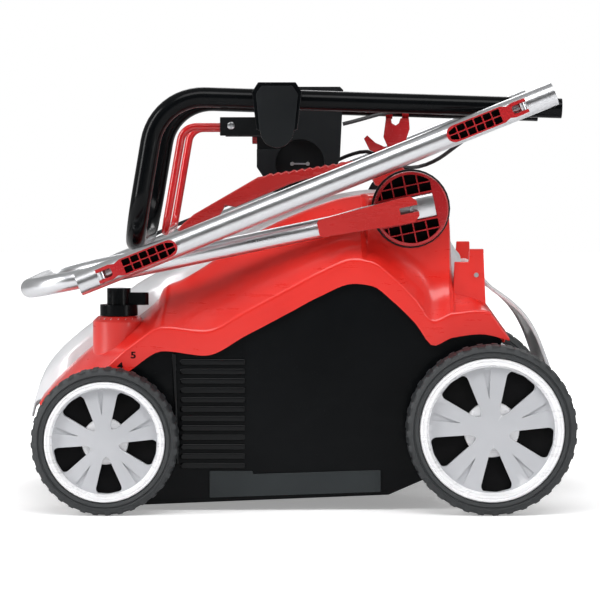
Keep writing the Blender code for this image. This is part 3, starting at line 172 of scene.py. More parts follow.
def makeMaterial(name, look):
    mat = bpy.data.materials.new(name)
    mat.use_nodes = True
    tree = mat.node_tree
    shader = tree.nodes["Principled BSDF"]
    if look.get("drawn"):
        skin = useGroup(tree, drawnLines, Lines=look["drawn"], Length=look.get("length", 6.0))
    else:
        skin = useGroup(tree, moldedSkin, Scale=look.get("scale", 1.0), Fine=look.get("fine", 0.4))
    worn = useGroup(tree, edgeWear, Amount=look.get("worn", 0.5))
    wipes = useGroup(tree, handlingWear, Scale=look.get("wipeScale", 1.0),
                     Low=look["rough"][0], High=look["rough"][1])
    tone = addNode(tree, "ShaderNodeMix", data_type="RGBA")
    tone.inputs[6].default_value = (*look["color"], 1.0)   # 6 and 7 are the two colours
    tone.inputs[7].default_value = (*look["shade"], 1.0)
    tree.links.new(skin.outputs["Mask"], tone.inputs[0])
    rubbed = addNode(tree, "ShaderNodeMix", data_type="RGBA")
    rubbed.inputs[7].default_value = (*look["edge"], 1.0)
    tree.links.new(worn.outputs["Mask"], rubbed.inputs[0])
    tree.links.new(tone.outputs[2], rubbed.inputs[6])
    tree.links.new(rubbed.outputs[2], shader.inputs["Base Color"])
    tree.links.new(wipes.outputs["Roughness"], shader.inputs["Roughness"])
    bump = addNode(tree, "ShaderNodeBump", {"Strength": look["bump"], "Distance": 0.0004})
    tree.links.new(skin.outputs["Height"], bump.inputs["Height"])
    tree.links.new(bump.outputs["Normal"], shader.inputs["Normal"])
    for socket, value in (("Metallic", look.get("metal", 0.0)), ("Coat Roughness", 0.06),
                          ("Coat Weight", look.get("coat", 0.0)),
                          ("Specular IOR Level", look.get("specular", 0.5))):
        shader.inputs[socket].default_value = value
    return mat


# color and shade mix over the surface, edge shows where it is rubbed, rough is a low and a high
finishes = {
    "glossRed": {"color": (0.74, 0.024, 0.016), "shade": (0.68, 0.018, 0.012),
                 "edge": (0.85, 0.16, 0.12), "rough": (0.26, 0.38), "bump": 0.03, "coat": 0.3,
                 "worn": 0.2, "specular": 0.6},
    "deepRed": {"color": (0.40, 0.010, 0.014), "shade": (0.34, 0.008, 0.011),
                "edge": (0.75, 0.12, 0.10), "rough": (0.22, 0.36), "bump": 0.06, "coat": 0.2,
                "worn": 0.25},
    "leverRed": {"color": (0.44, 0.020, 0.018), "shade": (0.39, 0.015, 0.014),
                 "edge": (0.80, 0.16, 0.13), "rough": (0.24, 0.36), "bump": 0.03, "coat": 0.3,
                 "worn": 0.2},
    "paleMark": {"color": (0.72, 0.32, 0.30), "shade": (0.66, 0.26, 0.24),
                 "edge": (0.8, 0.5, 0.5), "rough": (0.4, 0.5), "bump": 0.02},
    "glossBlack": {"color": (0.0030, 0.0036, 0.0042), "shade": (0.0020, 0.0025, 0.0030),
                   "edge": (0.10, 0.105, 0.11), "rough": (0.16, 0.30), "bump": 0.04,
                   "worn": 0.02, "specular": 0.09},
    "ribBlack": {"color": (0.0030, 0.0036, 0.0042), "shade": (0.0020, 0.0025, 0.0030),
                 "edge": (0.10, 0.105, 0.11), "rough": (0.14, 0.22), "bump": 0.02,
                 "worn": 0.02, "specular": 0.2},
    "satinBlack": {"color": (0.0090, 0.0105, 0.0115), "shade": (0.0060, 0.0070, 0.0080),
                   "edge": (0.12, 0.125, 0.13), "rough": (0.34, 0.48), "bump": 0.16,
                   "fine": 0.9, "worn": 0.04, "specular": 0.2},
    "skirtBlack": {"color": (0.030, 0.035, 0.037), "shade": (0.024, 0.028, 0.030),
                   "edge": (0.12, 0.125, 0.13), "rough": (0.34, 0.48), "bump": 0.12,
                   "worn": 0.04, "specular": 0.2},
    # matte black laid in the lever cells, the clamp disc's pockets and the wheel well: painted shade in these
    # hollows
    "paintedShadeBlack": {"color": (0.003, 0.003, 0.004), "shade": (0.002, 0.002, 0.002),
                 "edge": (0.01, 0.01, 0.01), "rough": (0.7, 0.8), "bump": 0.1, "specular": 0.1},
    "silverPaint": {"color": (0.80, 0.81, 0.83), "shade": (0.74, 0.75, 0.77),
                    "edge": (0.92, 0.92, 0.93), "rough": (0.28, 0.38), "bump": 0.02,
                    "metal": 0.1, "coat": 0.2, "fine": 0.3},
    "wheelSilver": {"color": (0.54, 0.55, 0.575), "shade": (0.50, 0.51, 0.535),
                    "edge": (0.86, 0.86, 0.88), "rough": (0.32, 0.42), "bump": 0.12,
                    "metal": 0.2, "fine": 1.3, "worn": 0.8},
    "rimWhite": {"color": (0.92, 0.92, 0.93), "shade": (0.88, 0.88, 0.90),
                 "edge": (0.95, 0.95, 0.96), "rough": (0.25, 0.34), "bump": 0.05, "metal": 0.1},
    "tyreRubber": {"color": (0.022, 0.025, 0.027), "shade": (0.014, 0.016, 0.018),
                   "edge": (0.10, 0.105, 0.11), "rough": (0.50, 0.66), "bump": 0.35,
                   "fine": 1.4, "worn": 0.8},
    "drawnAluminium": {"color": (0.80, 0.81, 0.83), "shade": (0.70, 0.71, 0.73),
                       "edge": (0.85, 0.85, 0.86), "rough": (0.27, 0.35), "bump": 0.03,
                       "metal": 1.0, "drawn": 420.0, "length": 5.0, "worn": 0.2},
    "blackEnamel": {"color": (0.0030, 0.0035, 0.0040), "shade": (0.0020, 0.0025, 0.0030),
                    "edge": (0.09, 0.09, 0.10), "rough": (0.14, 0.24), "bump": 0.03,
                    "worn": 0.02, "specular": 0.12},
    "redEnamel": {"color": (0.60, 0.014, 0.016), "shade": (0.52, 0.010, 0.012),
                  "edge": (0.80, 0.14, 0.12), "rough": (0.16, 0.26), "bump": 0.04, "coat": 0.4},
    "zincSteel": {"color": (0.62, 0.63, 0.65), "shade": (0.50, 0.51, 0.53),
                  "edge": (0.85, 0.85, 0.86), "rough": (0.24, 0.42), "bump": 0.12, "metal": 1.0,
                  "fine": 1.0},
    "copperWire": {"color": (0.60, 0.24, 0.10), "shade": (0.42, 0.15, 0.06),
                   "edge": (0.8, 0.4, 0.2), "rough": (0.35, 0.5), "bump": 0.5, "metal": 1.0,
                   "fine": 1.5},
    "cableSheath": {"color": (0.013, 0.014, 0.016), "shade": (0.009, 0.010, 0.011),
                    "edge": (0.05, 0.05, 0.06), "rough": (0.38, 0.5), "bump": 0.15, "fine": 1.0},
}
mats = {name: makeMaterial(name, look) for name, look in finishes.items()}
print("materials made:", len(mats))


# Mesh tools

def placed(name, data):
    obj = bpy.data.objects.new(name, data)
    bpy.context.scene.collection.objects.link(obj)
    return obj


def facedOut(mesh):
    shape = bmesh.new()
    shape.from_mesh(mesh)
    bmesh.ops.recalc_face_normals(shape, faces=shape.faces)
    shape.to_mesh(mesh)
    shape.free()


def newObject(name, points, faces, mat):
    mesh = bpy.data.meshes.new(name)
    mesh.from_pydata([tuple(point) for point in points], [], faces)
    mesh.materials.append(mat)
    facedOut(mesh)
    return placed(name, mesh)


def shadeRound(obj, angle=35):
    obj.data.shade_smooth()
    obj.data.set_sharp_from_angle(angle=math.radians(angle))
    return obj


def applyAll(obj):
    graph = bpy.context.evaluated_depsgraph_get()
    graph.update()
    done = bpy.data.meshes.new_from_object(obj.evaluated_get(graph))
    obj.modifiers.clear()
    obj.data = done
    return obj


def bevelled(obj, width, segments=2, angle=38):   # rounded edges, with flat faces kept flat
    step = obj.modifiers.new("bevel", "BEVEL")
    step.width, step.segments = width, segments
    step.limit_method = "ANGLE"
    step.angle_limit = math.radians(angle)
    step.use_clamp_overlap = True
    shadeRound(applyAll(obj), 40)
    flat = obj.modifiers.new("flat", "WEIGHTED_NORMAL")
    flat.keep_sharp, flat.weight = True, 80
    return applyAll(obj)


def thickened(obj, outward, wall):   # an open sheet made a shell, its skin facing outward
    if sum(face.normal.dot(Vector(outward)) for face in obj.data.polygons) < 0:
        obj.data.flip_normals()
    step = obj.modifiers.new("wall", "SOLIDIFY")
    step.thickness, step.offset = wall, -1
    return bevelled(applyAll(obj), 0.0006, 2, 60)


def carved(obj, cutters):
    for cutter in cutters:
        step = obj.modifiers.new("carve", "BOOLEAN")
        step.operation, step.solver, step.object = "DIFFERENCE", "EXACT", cutter
        applyAll(obj)
        bpy.data.objects.remove(cutter, do_unlink=True)


def joined(objects):
    base, *others = objects
    shape = bmesh.new()
    for obj in objects:
        shape.from_mesh(obj.data)
    for obj in others:
        bpy.data.objects.remove(obj, do_unlink=True)
    shape.to_mesh(base.data)
    shape.free()
    return base


def prism(name, outline, low, high, mat, axis="Y"):   # an outline given depth along Y or Z
    place = {"Y": lambda a, b, h: (a, h, b), "Z": lambda a, b, h: (a, b, h)}[axis]
    count = len(outline)
    points = [place(a, b, h) for h in (low, high) for a, b in outline]
    faces = [list(range(count)), list(range(count, 2 * count))]
    faces += [(i, (i + 1) % count, count + (i + 1) % count, count + i) for i in range(count)]
    return newObject(name, points, faces, mat)


def block(name, low, high, mat):
    outline = [(low[0], low[2]), (high[0], low[2]), (high[0], high[2]), (low[0], high[2])]
    return prism(name, outline, low[1], high[1], mat)


def turned(name, profile, mat, count=64):   # a closed profile of radius and height, about Z
    points, rings = [], []
    for radius, height in profile:
        ring = []
        for i in range(1 if radius < 1e-6 else count):
            angle = 2 * math.pi * i / count
            ring.append(len(points))
            points.append((radius * math.cos(angle), radius * math.sin(angle), height))
        rings.append(ring)
    faces = []
    for a, b in zip(rings, rings[1:] + rings[:1]):
        for i in range(count):
            j = (i + 1) % count
            if len(a) == 1 and len(b) == 1:
                break
            corners = [a[i % len(a)], a[j % len(a)], b[j % len(b)], b[i % len(b)]]
            faces.append([c for k, c in enumerate(corners) if c not in corners[:k]])
    return shadeRound(newObject(name, points, faces, mat))


def arcPoints(centre, radius, start, end, steps):
    return [(centre[0] + radius * math.cos(math.radians(start + (end - start) * i / steps)),
             centre[1] + radius * math.sin(math.radians(start + (end - start) * i / steps)))
            for i in range(steps + 1)]


def filleted(corners, radius, steps=4, closed=True):
    made, count = [], len(corners)
    for i, corner in enumerate(corners):
        if not closed and i in (0, count - 1):
            made.append(corner)
            continue
        here = Vector(corner)
        into, out = Vector(corners[i - 1]) - here, Vector(corners[(i + 1) % count]) - here
        size = radius[i] if isinstance(radius, (list, tuple)) else radius
        back = min(size, 0.45 * into.length, 0.45 * out.length)
        start, end = here + into.normalized() * back, here + out.normalized() * back
        for k in range(steps + 1):
            t = k / steps
            made.append(tuple(start * (1 - t) ** 2 + here * 2 * t * (1 - t) + end * t * t))
    return made


def standing(origin, along, outward):   # puts X along the piece and Z out of the machine
    along, outward = Vector(along).normalized(), Vector(outward).normalized()
    across = outward.cross(along)
    turn = Matrix((along, across, outward)).transposed().to_4x4()
    return Matrix.Translation(Vector(origin)) @ turn


def moved(obj, matrix):
    obj.data.transform(matrix)
    return obj


def ridesAs(obj, body, replaced=()):
    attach(obj, body)
    if replaced:
        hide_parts(*replaced)


def heightAt(points, x):   # a smooth line through the points that never overshoots
    if x <= points[0][0]:
        return points[0][1]
    if x >= points[-1][0]:
        return points[-1][1]
    gaps = [b[0] - a[0] for a, b in zip(points, points[1:])]
    rises = [(b[1] - a[1]) / gap for a, b, gap in zip(points, points[1:], gaps)]
    slopes = [rises[0]]
    for before, after in zip(rises, rises[1:]):
        slopes.append(0.0 if before * after <= 0 else 2 * before * after / (before + after))
    slopes.append(rises[-1])
    i = max(k for k, point in enumerate(points[:-1]) if point[0] <= x)
    t = (x - points[i][0]) / gaps[i]
    return ((2 * t ** 3 - 3 * t ** 2 + 1) * points[i][1] + (t ** 3 - 2 * t ** 2 + t) * gaps[i] * slopes[i]
            + (3 * t ** 2 - 2 * t ** 3) * points[i + 1][1] + (t ** 3 - t ** 2) * gaps[i] * slopes[i + 1])


def straightAt(points, x):
    for (x0, z0), (x1, z1) in zip(points, points[1:]):
        if x <= x1:
            return z0 + (z1 - z0) * max(0.0, x - x0) / (x1 - x0)
    return points[-1][1]


def roundedPath(corners, radius, steps=12):
    points = [Vector(corners[0])]
    for before, corner, after in zip(corners, corners[1:], corners[2:]):
        into = (Vector(corner) - Vector(before)).normalized()
        out = (Vector(after) - Vector(corner)).normalized()
        angle = into.angle(out)
        centre = Vector(corner) + (out - into).normalized() * (radius / math.cos(angle / 2))
        first = Vector(corner) - into * (radius * math.tan(angle / 2)) - centre
        hinge = into.cross(out).normalized()
        points += [centre + Matrix.Rotation(angle * i / steps, 3, hinge) @ first
                   for i in range(steps + 1)]
    return points + [Vector(corners[-1])]


def sweptTube(name, path, radius, mat, wall=0.0015, count=32, scales=None):
    scales = scales or [(1.0, 1.0)] * len(path)
    points, length, side = [], 0.0, Vector((0, 1, 0))
    lengths, shells = [], ([], [])
    for i, point in enumerate(path):
        ahead = (path[min(i + 1, len(path) - 1)] - point).normalized()
        behind = (point - path[max(i - 1, 0)]).normalized()
        tangent = (ahead + behind).normalized()
        length += (point - path[max(i - 1, 0)]).length
        lengths.append(length)
        side = (side - tangent * side.dot(tangent)).normalized()
        up = tangent.cross(side)
        wide, tall = scales[i]
        for shell, shrink in enumerate((0.0, wall)):
            ring = []
            for k in range(count):
                angle = 2 * math.pi * (k + 0.5) / count
                ring.append(len(points))
                points.append(point + side * math.cos(angle) * (radius * wide - shrink)
                              + up * math.sin(angle) * (radius * tall - shrink))
            shells[shell].append(ring)
    faces, spots = [], []
    for rings in shells:
        for i, (a, b) in enumerate(zip(rings, rings[1:])):
            for k in range(count):
                m = (k + 1) % count
                faces.append((a[k], a[m], b[m], b[k]))
                u0, u1, v0, v1 = k / count, (k + 1) / count, lengths[i], lengths[i + 1]
                spots.append([(u0, v0), (u1, v0), (u1, v1), (u0, v1)])
    for end in (0, -1):
        for k in range(count):
            m = (k + 1) % count
            faces.append((shells[0][end][k], shells[0][end][m], shells[1][end][m], shells[1][end][k]))
            spots.append([(k / count, 0.0)] * 4)
    mesh = bpy.data.meshes.new(name)
    mesh.from_pydata([tuple(point) for point in points], [], faces)
    layer = mesh.uv_layers.new(name="along")
    for face, corners in zip(mesh.polygons, spots):
        for loop, spot in zip(face.loop_indices, corners):
            layer.data[loop].uv = spot
    mesh.materials.append(mat)
    facedOut(mesh)
    return bevelled(placed(name, mesh), 0.0004, 2, 50)


def refined(node, mat, width, segments=2):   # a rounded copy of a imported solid
    shape = bmesh.new()
    shape.from_mesh(cadNodes[node].data)
    bmesh.ops.remove_doubles(shape, verts=shape.verts, dist=0.00002)
    bmesh.ops.dissolve_limit(shape, angle_limit=math.radians(1.5), verts=shape.verts,
                             edges=shape.edges)
    mesh = bpy.data.meshes.new(node + "Fine")
    shape.to_mesh(mesh)
    shape.free()
    mesh.materials.append(mat)
    ridesAs(bevelled(placed(node + "_fine", mesh), width, segments), bodyOfNode[node], (node,))


# Wheels

wheelShape = {
    "lugs": 36, "lugHeight": 0.0012, "windows": 5, "firstWindow": 275, "wellHeight": 0.004,
    "lugColumns": ((0.0, 0, 0), (0.07, 1, 0), (0.43, 1, 0), (0.50, 0, 0), (0.57, 0, 1), (0.93, 0, 1)),
    "dish": [(0.0, 0.0158), (0.10, 0.0157), (0.25, 0.0152), (0.45, 0.0138), (0.65, 0.0122),
             (0.80, 0.0115), (0.885, 0.0112)],   # share of the rim's radius, height
    "dishWall": 0.0055, "windowCorner": 0.0034, "grooveCorner": 0.0010, "grooveFloor": 0.0100,
    "window": [(0.235, 0.0), (0.30, -11.0), (0.45, -13.5), (0.80, -15.8), (0.858, -13.2),
               (0.868, 0.0), (0.858, 13.2), (0.80, 15.8), (0.45, 13.5), (0.30, 11.0)],
    "groove": [(0.44, 0.0), (0.84, -3.9), (0.84, 3.9)],   # share of the radius, degrees off middle
}


def makeTyre(name, radius, bead, half):
    low = radius - wheelShape["lugHeight"]
    outer = [(bead, half - 0.004, 0), (bead + 0.0015, half - 0.0008, 0), (radius - 0.0102, half, 0),
             (radius - 0.0092, half - 0.0010, 0), (radius - 0.0084, half - 0.0010, 0),
             (radius - 0.0074, half, 0), (radius - 0.0045, half - 0.0010, 0),
             (low - 0.0012, half - 0.0030, 1), (low, half - 0.0060, 1), (low, 0.0012, 1)]
    profile = outer + [(r, -z, -lug) for r, z, lug in reversed(outer)]
    points, columns = [], []
    pitch = 2 * math.pi / wheelShape["lugs"]
    for i in range(wheelShape["lugs"]):
        for offset, outerLug, innerLug in wheelShape["lugColumns"]:
            angle, column = (i + offset) * pitch, []
            for r, z, lug in profile:
                raised = outerLug if lug > 0 else innerLug if lug < 0 else 0
                r += raised * wheelShape["lugHeight"]
                column.append(len(points))
                points.append((r * math.cos(angle), r * math.sin(angle), z))
            columns.append(column)
    faces = []
    for a, b in zip(columns, columns[1:] + columns[:1]):
        for k in range(len(profile)):
            m = (k + 1) % len(profile)
            faces.append((a[k], a[m], b[m], b[k]))
    return shadeRound(newObject(name, points, faces, mats["tyreRubber"]), 30)


def windowOutline(bead, middle, shares, radius):
    corners = []
    for share, spread in shares:
        angle = math.radians(middle + spread)
        corners.append((share * bead * math.cos(angle), share * bead * math.sin(angle)))
    return filleted(corners, radius)


def makeWheelFace(name, bead):
    shape, silver = wheelShape, mats["wheelSilver"]
    profile = [(share * bead, z) for share, z in shape["dish"]]
    profile += [(share * bead, z - shape["dishWall"]) for share, z in reversed(shape["dish"])]
    face = turned(name, profile, silver, 120)
    cuts, grooves = [], []
    step = 360 / shape["windows"]
    for i in range(shape["windows"]):
        middle = shape["firstWindow"] + step * i
        window = windowOutline(bead, middle, shape["window"], shape["windowCorner"])
        cuts.append(prism("cut", window, 0.0, 0.03, silver, "Z"))
        groove = windowOutline(bead, middle + step / 2, shape["groove"], shape["grooveCorner"])
        grooves.append(prism("cut", groove, shape["grooveFloor"], 0.03, silver, "Z"))
    carved(face, [joined(cuts), joined(grooves)])
    return bevelled(face, 0.0008, 3, 50)


def makeWheel(place, word, side):
    tyreNode, capNode = f"tyre_{place}_{word}", f"hubcap_{place}_{word}"
    low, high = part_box(tyreNode)
    capLow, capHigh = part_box(capNode)
    centre, radius, half = (low + high) / 2, (high.x - low.x) / 2, (high.y - low.y) / 2
    bead = (capHigh.x - capLow.x) / 2
    body = bodyOfNode[tyreNode]
    rim = [(bead, half - 0.0030), (bead * 0.985, half - 0.0012), (bead * 0.965, half - 0.0008),
           (bead * 0.958, half - 0.0018), (bead * 0.945, half - 0.0018),
           (bead * 0.938, half - 0.0010), (bead * 0.905, half - 0.0014), (bead * 0.888, 0.0140),
           (bead * 0.872, 0.0122), (bead * 0.872, -half + 0.0060), (bead * 0.93, -half + 0.0025),
           (bead, -half + 0.0025)]
    # the wheel's well behind the windows, made matte black: painted shade inside the wheel
    wellShade = [(0.0, wheelShape["wellHeight"]), (bead * 0.875, wheelShape["wellHeight"]),
            (bead * 0.875, 0.001), (0.0, 0.001)]
    boss = [(0.0, 0.0090), (bead * 0.375, 0.0078), (bead * 0.39, 0.0035), (0.0, 0.0035)]
    hub = [(0.0065, 0.0010), (0.0150, 0.0010), (0.0140, -half + 0.0045), (0.0065, -half + 0.0045)]
    made = [(makeTyre(f"{place}Tyre_{word}", radius, bead, half), (tyreNode,), "tyre"),
            (makeWheelFace(f"{place}WheelFace_{word}", bead), (capNode,), "wheel_grey"),
            (turned(f"{place}Rim_{word}", rim, mats["rimWhite"], 120), (), "wheel_grey"),
            (turned(f"{place}WellShade_{word}", wellShade, mats["paintedShadeBlack"], 64), (), "black_plastic"),
            (turned(f"{place}HubCone_{word}", boss, mats["rimWhite"], 64), (), "wheel_grey"),
            (turned(f"{place}HubBore_{word}", hub, mats["satinBlack"], 48), (), "black_plastic")]
    for obj, replaced, slot in made:
        moved(obj, standing(centre, (1, 0, 0), (0, side, 0)))
        ridesAs(obj, body, replaced)


for place in ("front", "rear"):
    for word, side in sides:
        makeWheel(place, word, side)
print("wheels made")


# Red cover

coverShape = {
    "bandLow": [(-0.288, 0.112), (-0.235, 0.120), (-0.185, 0.158), (-0.1475, 0.180),
                (-0.101, 0.175), (-0.054, 0.198), (-0.003, 0.225), (0.026, 0.2405),
                (0.066, 0.2555), (0.086, 0.253), (0.109, 0.236), (0.135, 0.2105), (0.155, 0.186),
                (0.176, 0.195), (0.208, 0.199), (0.240, 0.192)],
    "top": [(-0.288, 0.126), (-0.2675, 0.149), (-0.231, 0.182), (-0.157, 0.234), (-0.149, 0.249),
            (-0.129, 0.258), (-0.0355, 0.316), (0.027, 0.343), (0.057, 0.352), (0.087, 0.356),
            (0.155, 0.356), (0.172, 0.342), (0.180, 0.262), (0.205, 0.245), (0.240, 0.200)],
    "ridge": 0.027, "recess": 0.014, "wall": 0.003, "towerOut": 0.146, "towerIn": 0.112,
    "hoodHalf": 0.0985, "hoodFrontHalf": 0.086, "nose": 0.020, "noseAt": -0.235, "noseRun": 0.053,
    "towerFront": 0.0735, "towerFrontRun": 0.009, "towerRear": 0.1735, "towerRearRun": 0.005,
    "fillets": [0, 0.0030, 0.030, 0.010, 0.004, 0.002, 0],
}


def hoodHalfAt(x):
    return straightAt([(-0.165, coverShape["hoodFrontHalf"]), (-0.125, coverShape["hoodHalf"])], x)


def easeIn(x, start, run):
    t = min(1.0, max(0.0, (x - start) / run))
    return t * t * (3 - 2 * t)


def coverCorners(x, half):
    low, top = heightAt(coverShape["bandLow"], x), heightAt(coverShape["top"], x)
    ridge = min(low + coverShape["ridge"], top - 0.006)
    half -= coverShape["nose"] * max(0.0, (coverShape["noseAt"] - x) / coverShape["noseRun"]) ** 2
    tower = easeIn(x, coverShape["towerFront"], coverShape["towerFrontRun"])
    tower *= 1 - easeIn(x, coverShape["towerRear"], coverShape["towerRearRun"])
    shoulder = coverShape["towerIn"] + (coverShape["towerOut"] - coverShape["towerIn"]) * tower
    middle = (half + shoulder) / 2 * (1 - tower) + shoulder * tower
    lift = (top - ridge) * (0.5 - 0.25 * tower)
    inner = hoodHalfAt(x) + 0.0015
    floor = top - coverShape["recess"]
    inward = 0.0005 if x > 0.112 else 0.014
    return [(half, low), (half, ridge), (middle, ridge + lift), (shoulder, top - 0.002),
            (inner + 0.004, top), (inner, floor), (inner - inward, floor)]


def makeCover():
    low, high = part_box("top_cover")
    stations = [low.x + (high.x - low.x) * i / 96 for i in range(97)]
    stations += [coverShape["towerFront"] + 0.0009 * i for i in range(11)]   # closer at the towers
    stations += [coverShape["towerRear"] + 0.0007 * i for i in range(12)]
    for word, side in sides:
        points, rows = [], []
        for x in sorted(set(stations)):
            section = filleted(coverCorners(x, high.y), coverShape["fillets"], closed=False)
            rows.append(list(range(len(points), len(points) + len(section))))
            points += [(x, side * y, z) for y, z in section]
        faces = [(a[k], a[k + 1], b[k + 1], b[k]) for a, b in zip(rows, rows[1:])
                 for k in range(len(a) - 1)]
        shell = newObject(f"redCover_{word}", points, faces, mats["glossRed"])
        ridesAs(thickened(shell, (0, side, 1), coverShape["wall"]), "chassis", ("top_cover",))


fittingShape = {
    "bossTop": 0.2165, "bossRadius": 0.0296, "marks": 9, "firstMark": 200, "markStep": 18,
    "bracket": [(0.1775, 0.222), (0.2165, 0.206), (0.2127, 0.2933), (0.1969, 0.2933),
                (0.1958, 0.2787), (0.1800, 0.2787)], "bracketY": (0.1345, 0.1405),
    "digits": (("5", -0.1842, 0.1722), ("4", -0.1990, 0.1602)), "digitSize": 0.0102,
}


def makeCoverFittings():
    x, y = jointAt["height_knob_turn"].x, jointAt["height_knob_turn"].y
    seat, r = fittingShape["bossTop"], fittingShape["bossRadius"]
    profile = [(0.0046, 0.150), (r, 0.150), (r, seat - 0.0060), (r - 0.0012, seat - 0.0045),
               (r - 0.0055, seat - 0.0005), (r - 0.0065, seat), (0.0046, seat)]
    boss = moved(turned("knobBoss", profile, mats["glossRed"], 96), Matrix.Translation((x, y, 0)))
    ridesAs(boss, "chassis", ())
    marks = []
    for i in range(fittingShape["marks"]):
        angle = math.radians(fittingShape["firstMark"] + fittingShape["markStep"] * i)
        mark = block("mark", (-0.0004, -0.0014, -0.0001), (0.0004, 0.0014, 0.0004), mats["paleMark"])
        out = Vector((math.cos(angle), math.sin(angle), 0))
        place = Vector((x, y, seat)) + out * (r - 0.0031) + Vector((0, 0, -0.0024))
        slope = out * 0.66 + Vector((0, 0, 0.75))   # square to the boss's sloped rim
        marks.append(moved(mark, standing(place, out.cross(Vector((0.66, 0.66, 0.75))), slope)))
    marks = joined(marks)
    ridesAs(marks, "chassis", ())
    marks.name = "knobMarks"
    for word, side in sides:
        edges = sorted(side * y for y in fittingShape["bracketY"])
        bracket = prism(f"rearBracket_{word}", fittingShape["bracket"], *edges, mats["glossRed"])
        ridesAs(bevelled(bracket, 0.0010, 3), "chassis", ())


def makeScale():
    face = -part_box("top_cover")[1].y
    for digit, x, z in fittingShape["digits"]:
        curve = bpy.data.curves.new("scaleDigit" + digit, "FONT")
        curve.body, curve.size = digit, fittingShape["digitSize"]
        curve.extrude, curve.offset = 0.00025, 0.0003
        curve.materials.append(mats["glossBlack"])
        text = placed("scaleDigit" + digit, curve)
        text.location = (x, face - 0.0001, z)
        text.rotation_euler = (math.pi / 2, 0, 0)
        text.scale = (1.25, 1, 1)
        ridesAs(text, "chassis", ())


makeCover()
makeCoverFittings()
makeScale()
print("cover made")


# Motor hood and rear flap

hoodShape = {
    "top": [(-0.306, 0.105), (-0.294, 0.146), (-0.277, 0.170), (-0.259, 0.187), (-0.226, 0.213),
            (-0.1885, 0.246), (-0.153, 0.266), (-0.112, 0.287), (-0.037, 0.321), (0.028, 0.347),
            (0.058, 0.354), (0.090, 0.358), (0.130, 0.356), (0.160, 0.335), (0.1865, 0.2895),
            (0.191, 0.2845)],
    "lift": 0.0045, "wall": 0.003, "groove": 0.0012, "grooveAt": 0.70, "grooveWidth": 0.018,
    "crownDrop": 0.42, "rollFrom": 0.93, "noseAt": -0.259, "noseRun": 0.047, "noseShare": 0.35,
}
flapShape = {"outer": [(0.213, 0.2625), (0.2254, 0.2496), (0.2466, 0.2343), (0.2642, 0.2166),
                       (0.2783, 0.1931), (0.2936, 0.1531)], "wall": 0.0032, "barrel": 0.0094,
             "bore": 0.0034, "barrelStart": 0.026, "barrelLength": 0.092, "foldFrom": 0.104}


def makeHood():
    low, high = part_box("motor_hood")
    stations = [low.x + (high.x - low.x) * i / 110 for i in range(111)]
    shares = [-1 + 2 * k / 56 for k in range(57)]
    points, rows, shape, roll = [], [], hoodShape, hoodShape["rollFrom"]
    for x in stations:
        top = heightAt(shape["top"], x)
        edge = min(heightAt(coverShape["top"], x) - coverShape["recess"] + shape["lift"],
                   top - 0.0095)
        nose = max(0.0, (shape["noseAt"] - x) / shape["noseRun"]) ** 1.5
        half = hoodHalfAt(x) * (1 - shape["noseShare"] * nose)
        rows.append(list(range(len(points), len(points) + len(shares))))
        for share in shares:
            crown = 1 - shape["crownDrop"] * share ** 4
            if abs(share) > roll:
                crown *= math.sqrt(max(0.0, 1 - ((abs(share) - roll) / (1 - roll)) ** 2))
            z = edge + (top - edge) * crown
            off = (abs(share) - shape["grooveAt"]) / shape["grooveWidth"]
            points.append((x, half * share, z - shape["groove"] * math.exp(-off ** 2)))
    faces = [(a[k], a[k + 1], b[k + 1], b[k]) for a, b in zip(rows, rows[1:])
             for k in range(len(shares) - 1)]
    hood = newObject("silverHood", points, faces, mats["silverPaint"])
    ridesAs(thickened(hood, (0, 0, 1), shape["wall"]), "chassis", ("motor_hood",))


def makeFlap():
    low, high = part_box("rear_flap")
    across = [low.y + (high.y - low.y) * k / 40 for k in range(41)]
    route = [Vector((x, 0, z)) for x, z in flapShape["outer"]]
    padded = [route[0] * 2 - route[1]] + route + [route[-1] * 2 - route[-2]]
    line = []
    for a, b, c, d in zip(padded, padded[1:], padded[2:], padded[3:]):
        for i in range(7):
            t = i / 7
            line.append(0.5 * (2 * b + (c - a) * t + (2 * a - 5 * b + 4 * c - d) * t * t
                               + (3 * b - a - 3 * c + d) * t ** 3))
    line.append(route[-1])
    points = []
    for spot in line:
        for y in across:
            fold = 0.0014 * max(0.0, (abs(y) - flapShape["foldFrom"]) / 0.014) ** 2
            points.append((spot.x - fold, y, spot.z - fold))
    width = len(across)
    faces = [(i * width + k, i * width + k + 1, (i + 1) * width + k + 1, (i + 1) * width + k)
             for i in range(len(line) - 1) for k in range(width - 1)]
    panel = newObject("silverFlap", points, faces, mats["silverPaint"])
    ridesAs(thickened(panel, (1, 0, 1), flapShape["wall"]), "rear_flap", ("rear_flap",))
    hinge, soft = jointAt["flap_hinge"], 0.0006   # soft is the barrel's corner
    bore, r, long = (flapShape[key] for key in ("bore", "barrel", "barrelLength"))
    for word, side in sides:
        profile = [(bore, 0), (r - soft, 0), (r, soft), (r, long - soft), (r - soft, long),
                   (bore, long)]
        barrel = turned(f"flapBarrel_{word}", profile, mats["silverPaint"], 48)
        place = standing((hinge.x, side * flapShape["barrelStart"], hinge.z), (1, 0, 0),
                         (0, side, 0))
        ridesAs(moved(barrel, place), "rear_flap", ())


makeHood()
makeFlap()
print("hood and flap made")


# Handle

handleShape = {"lowerRadius": 0.011, "middleRadius": 0.01325, "upperRadius": 0.01125,
               "plane": 0.164, "outerPlane": 0.190, "bend": 0.060,
               "plateHalfY": 0.0038, "plateHalfZ": 0.0135,
               "upperAngle": 178.2, "upperLength": 0.4045, "upperOver": 0.0468,
               "legAngle": 260.4, "legLength": 0.1676, "frontOver": 0.029, "rearOver": 0.0395,
               "plateOver": 0.0265, "plateEnd": 0.046, "plateRun": 0.046, "blendEnd": 0.098}
pivot, middleHinge, upperHinge = (jointAt[name] for name in ("lower_fold", "middle_fold",
                                                             "upper_fold"))
lowerAlong, middleAlong = (middleHinge - pivot).normalized(), (upperHinge - middleHinge).normalized()


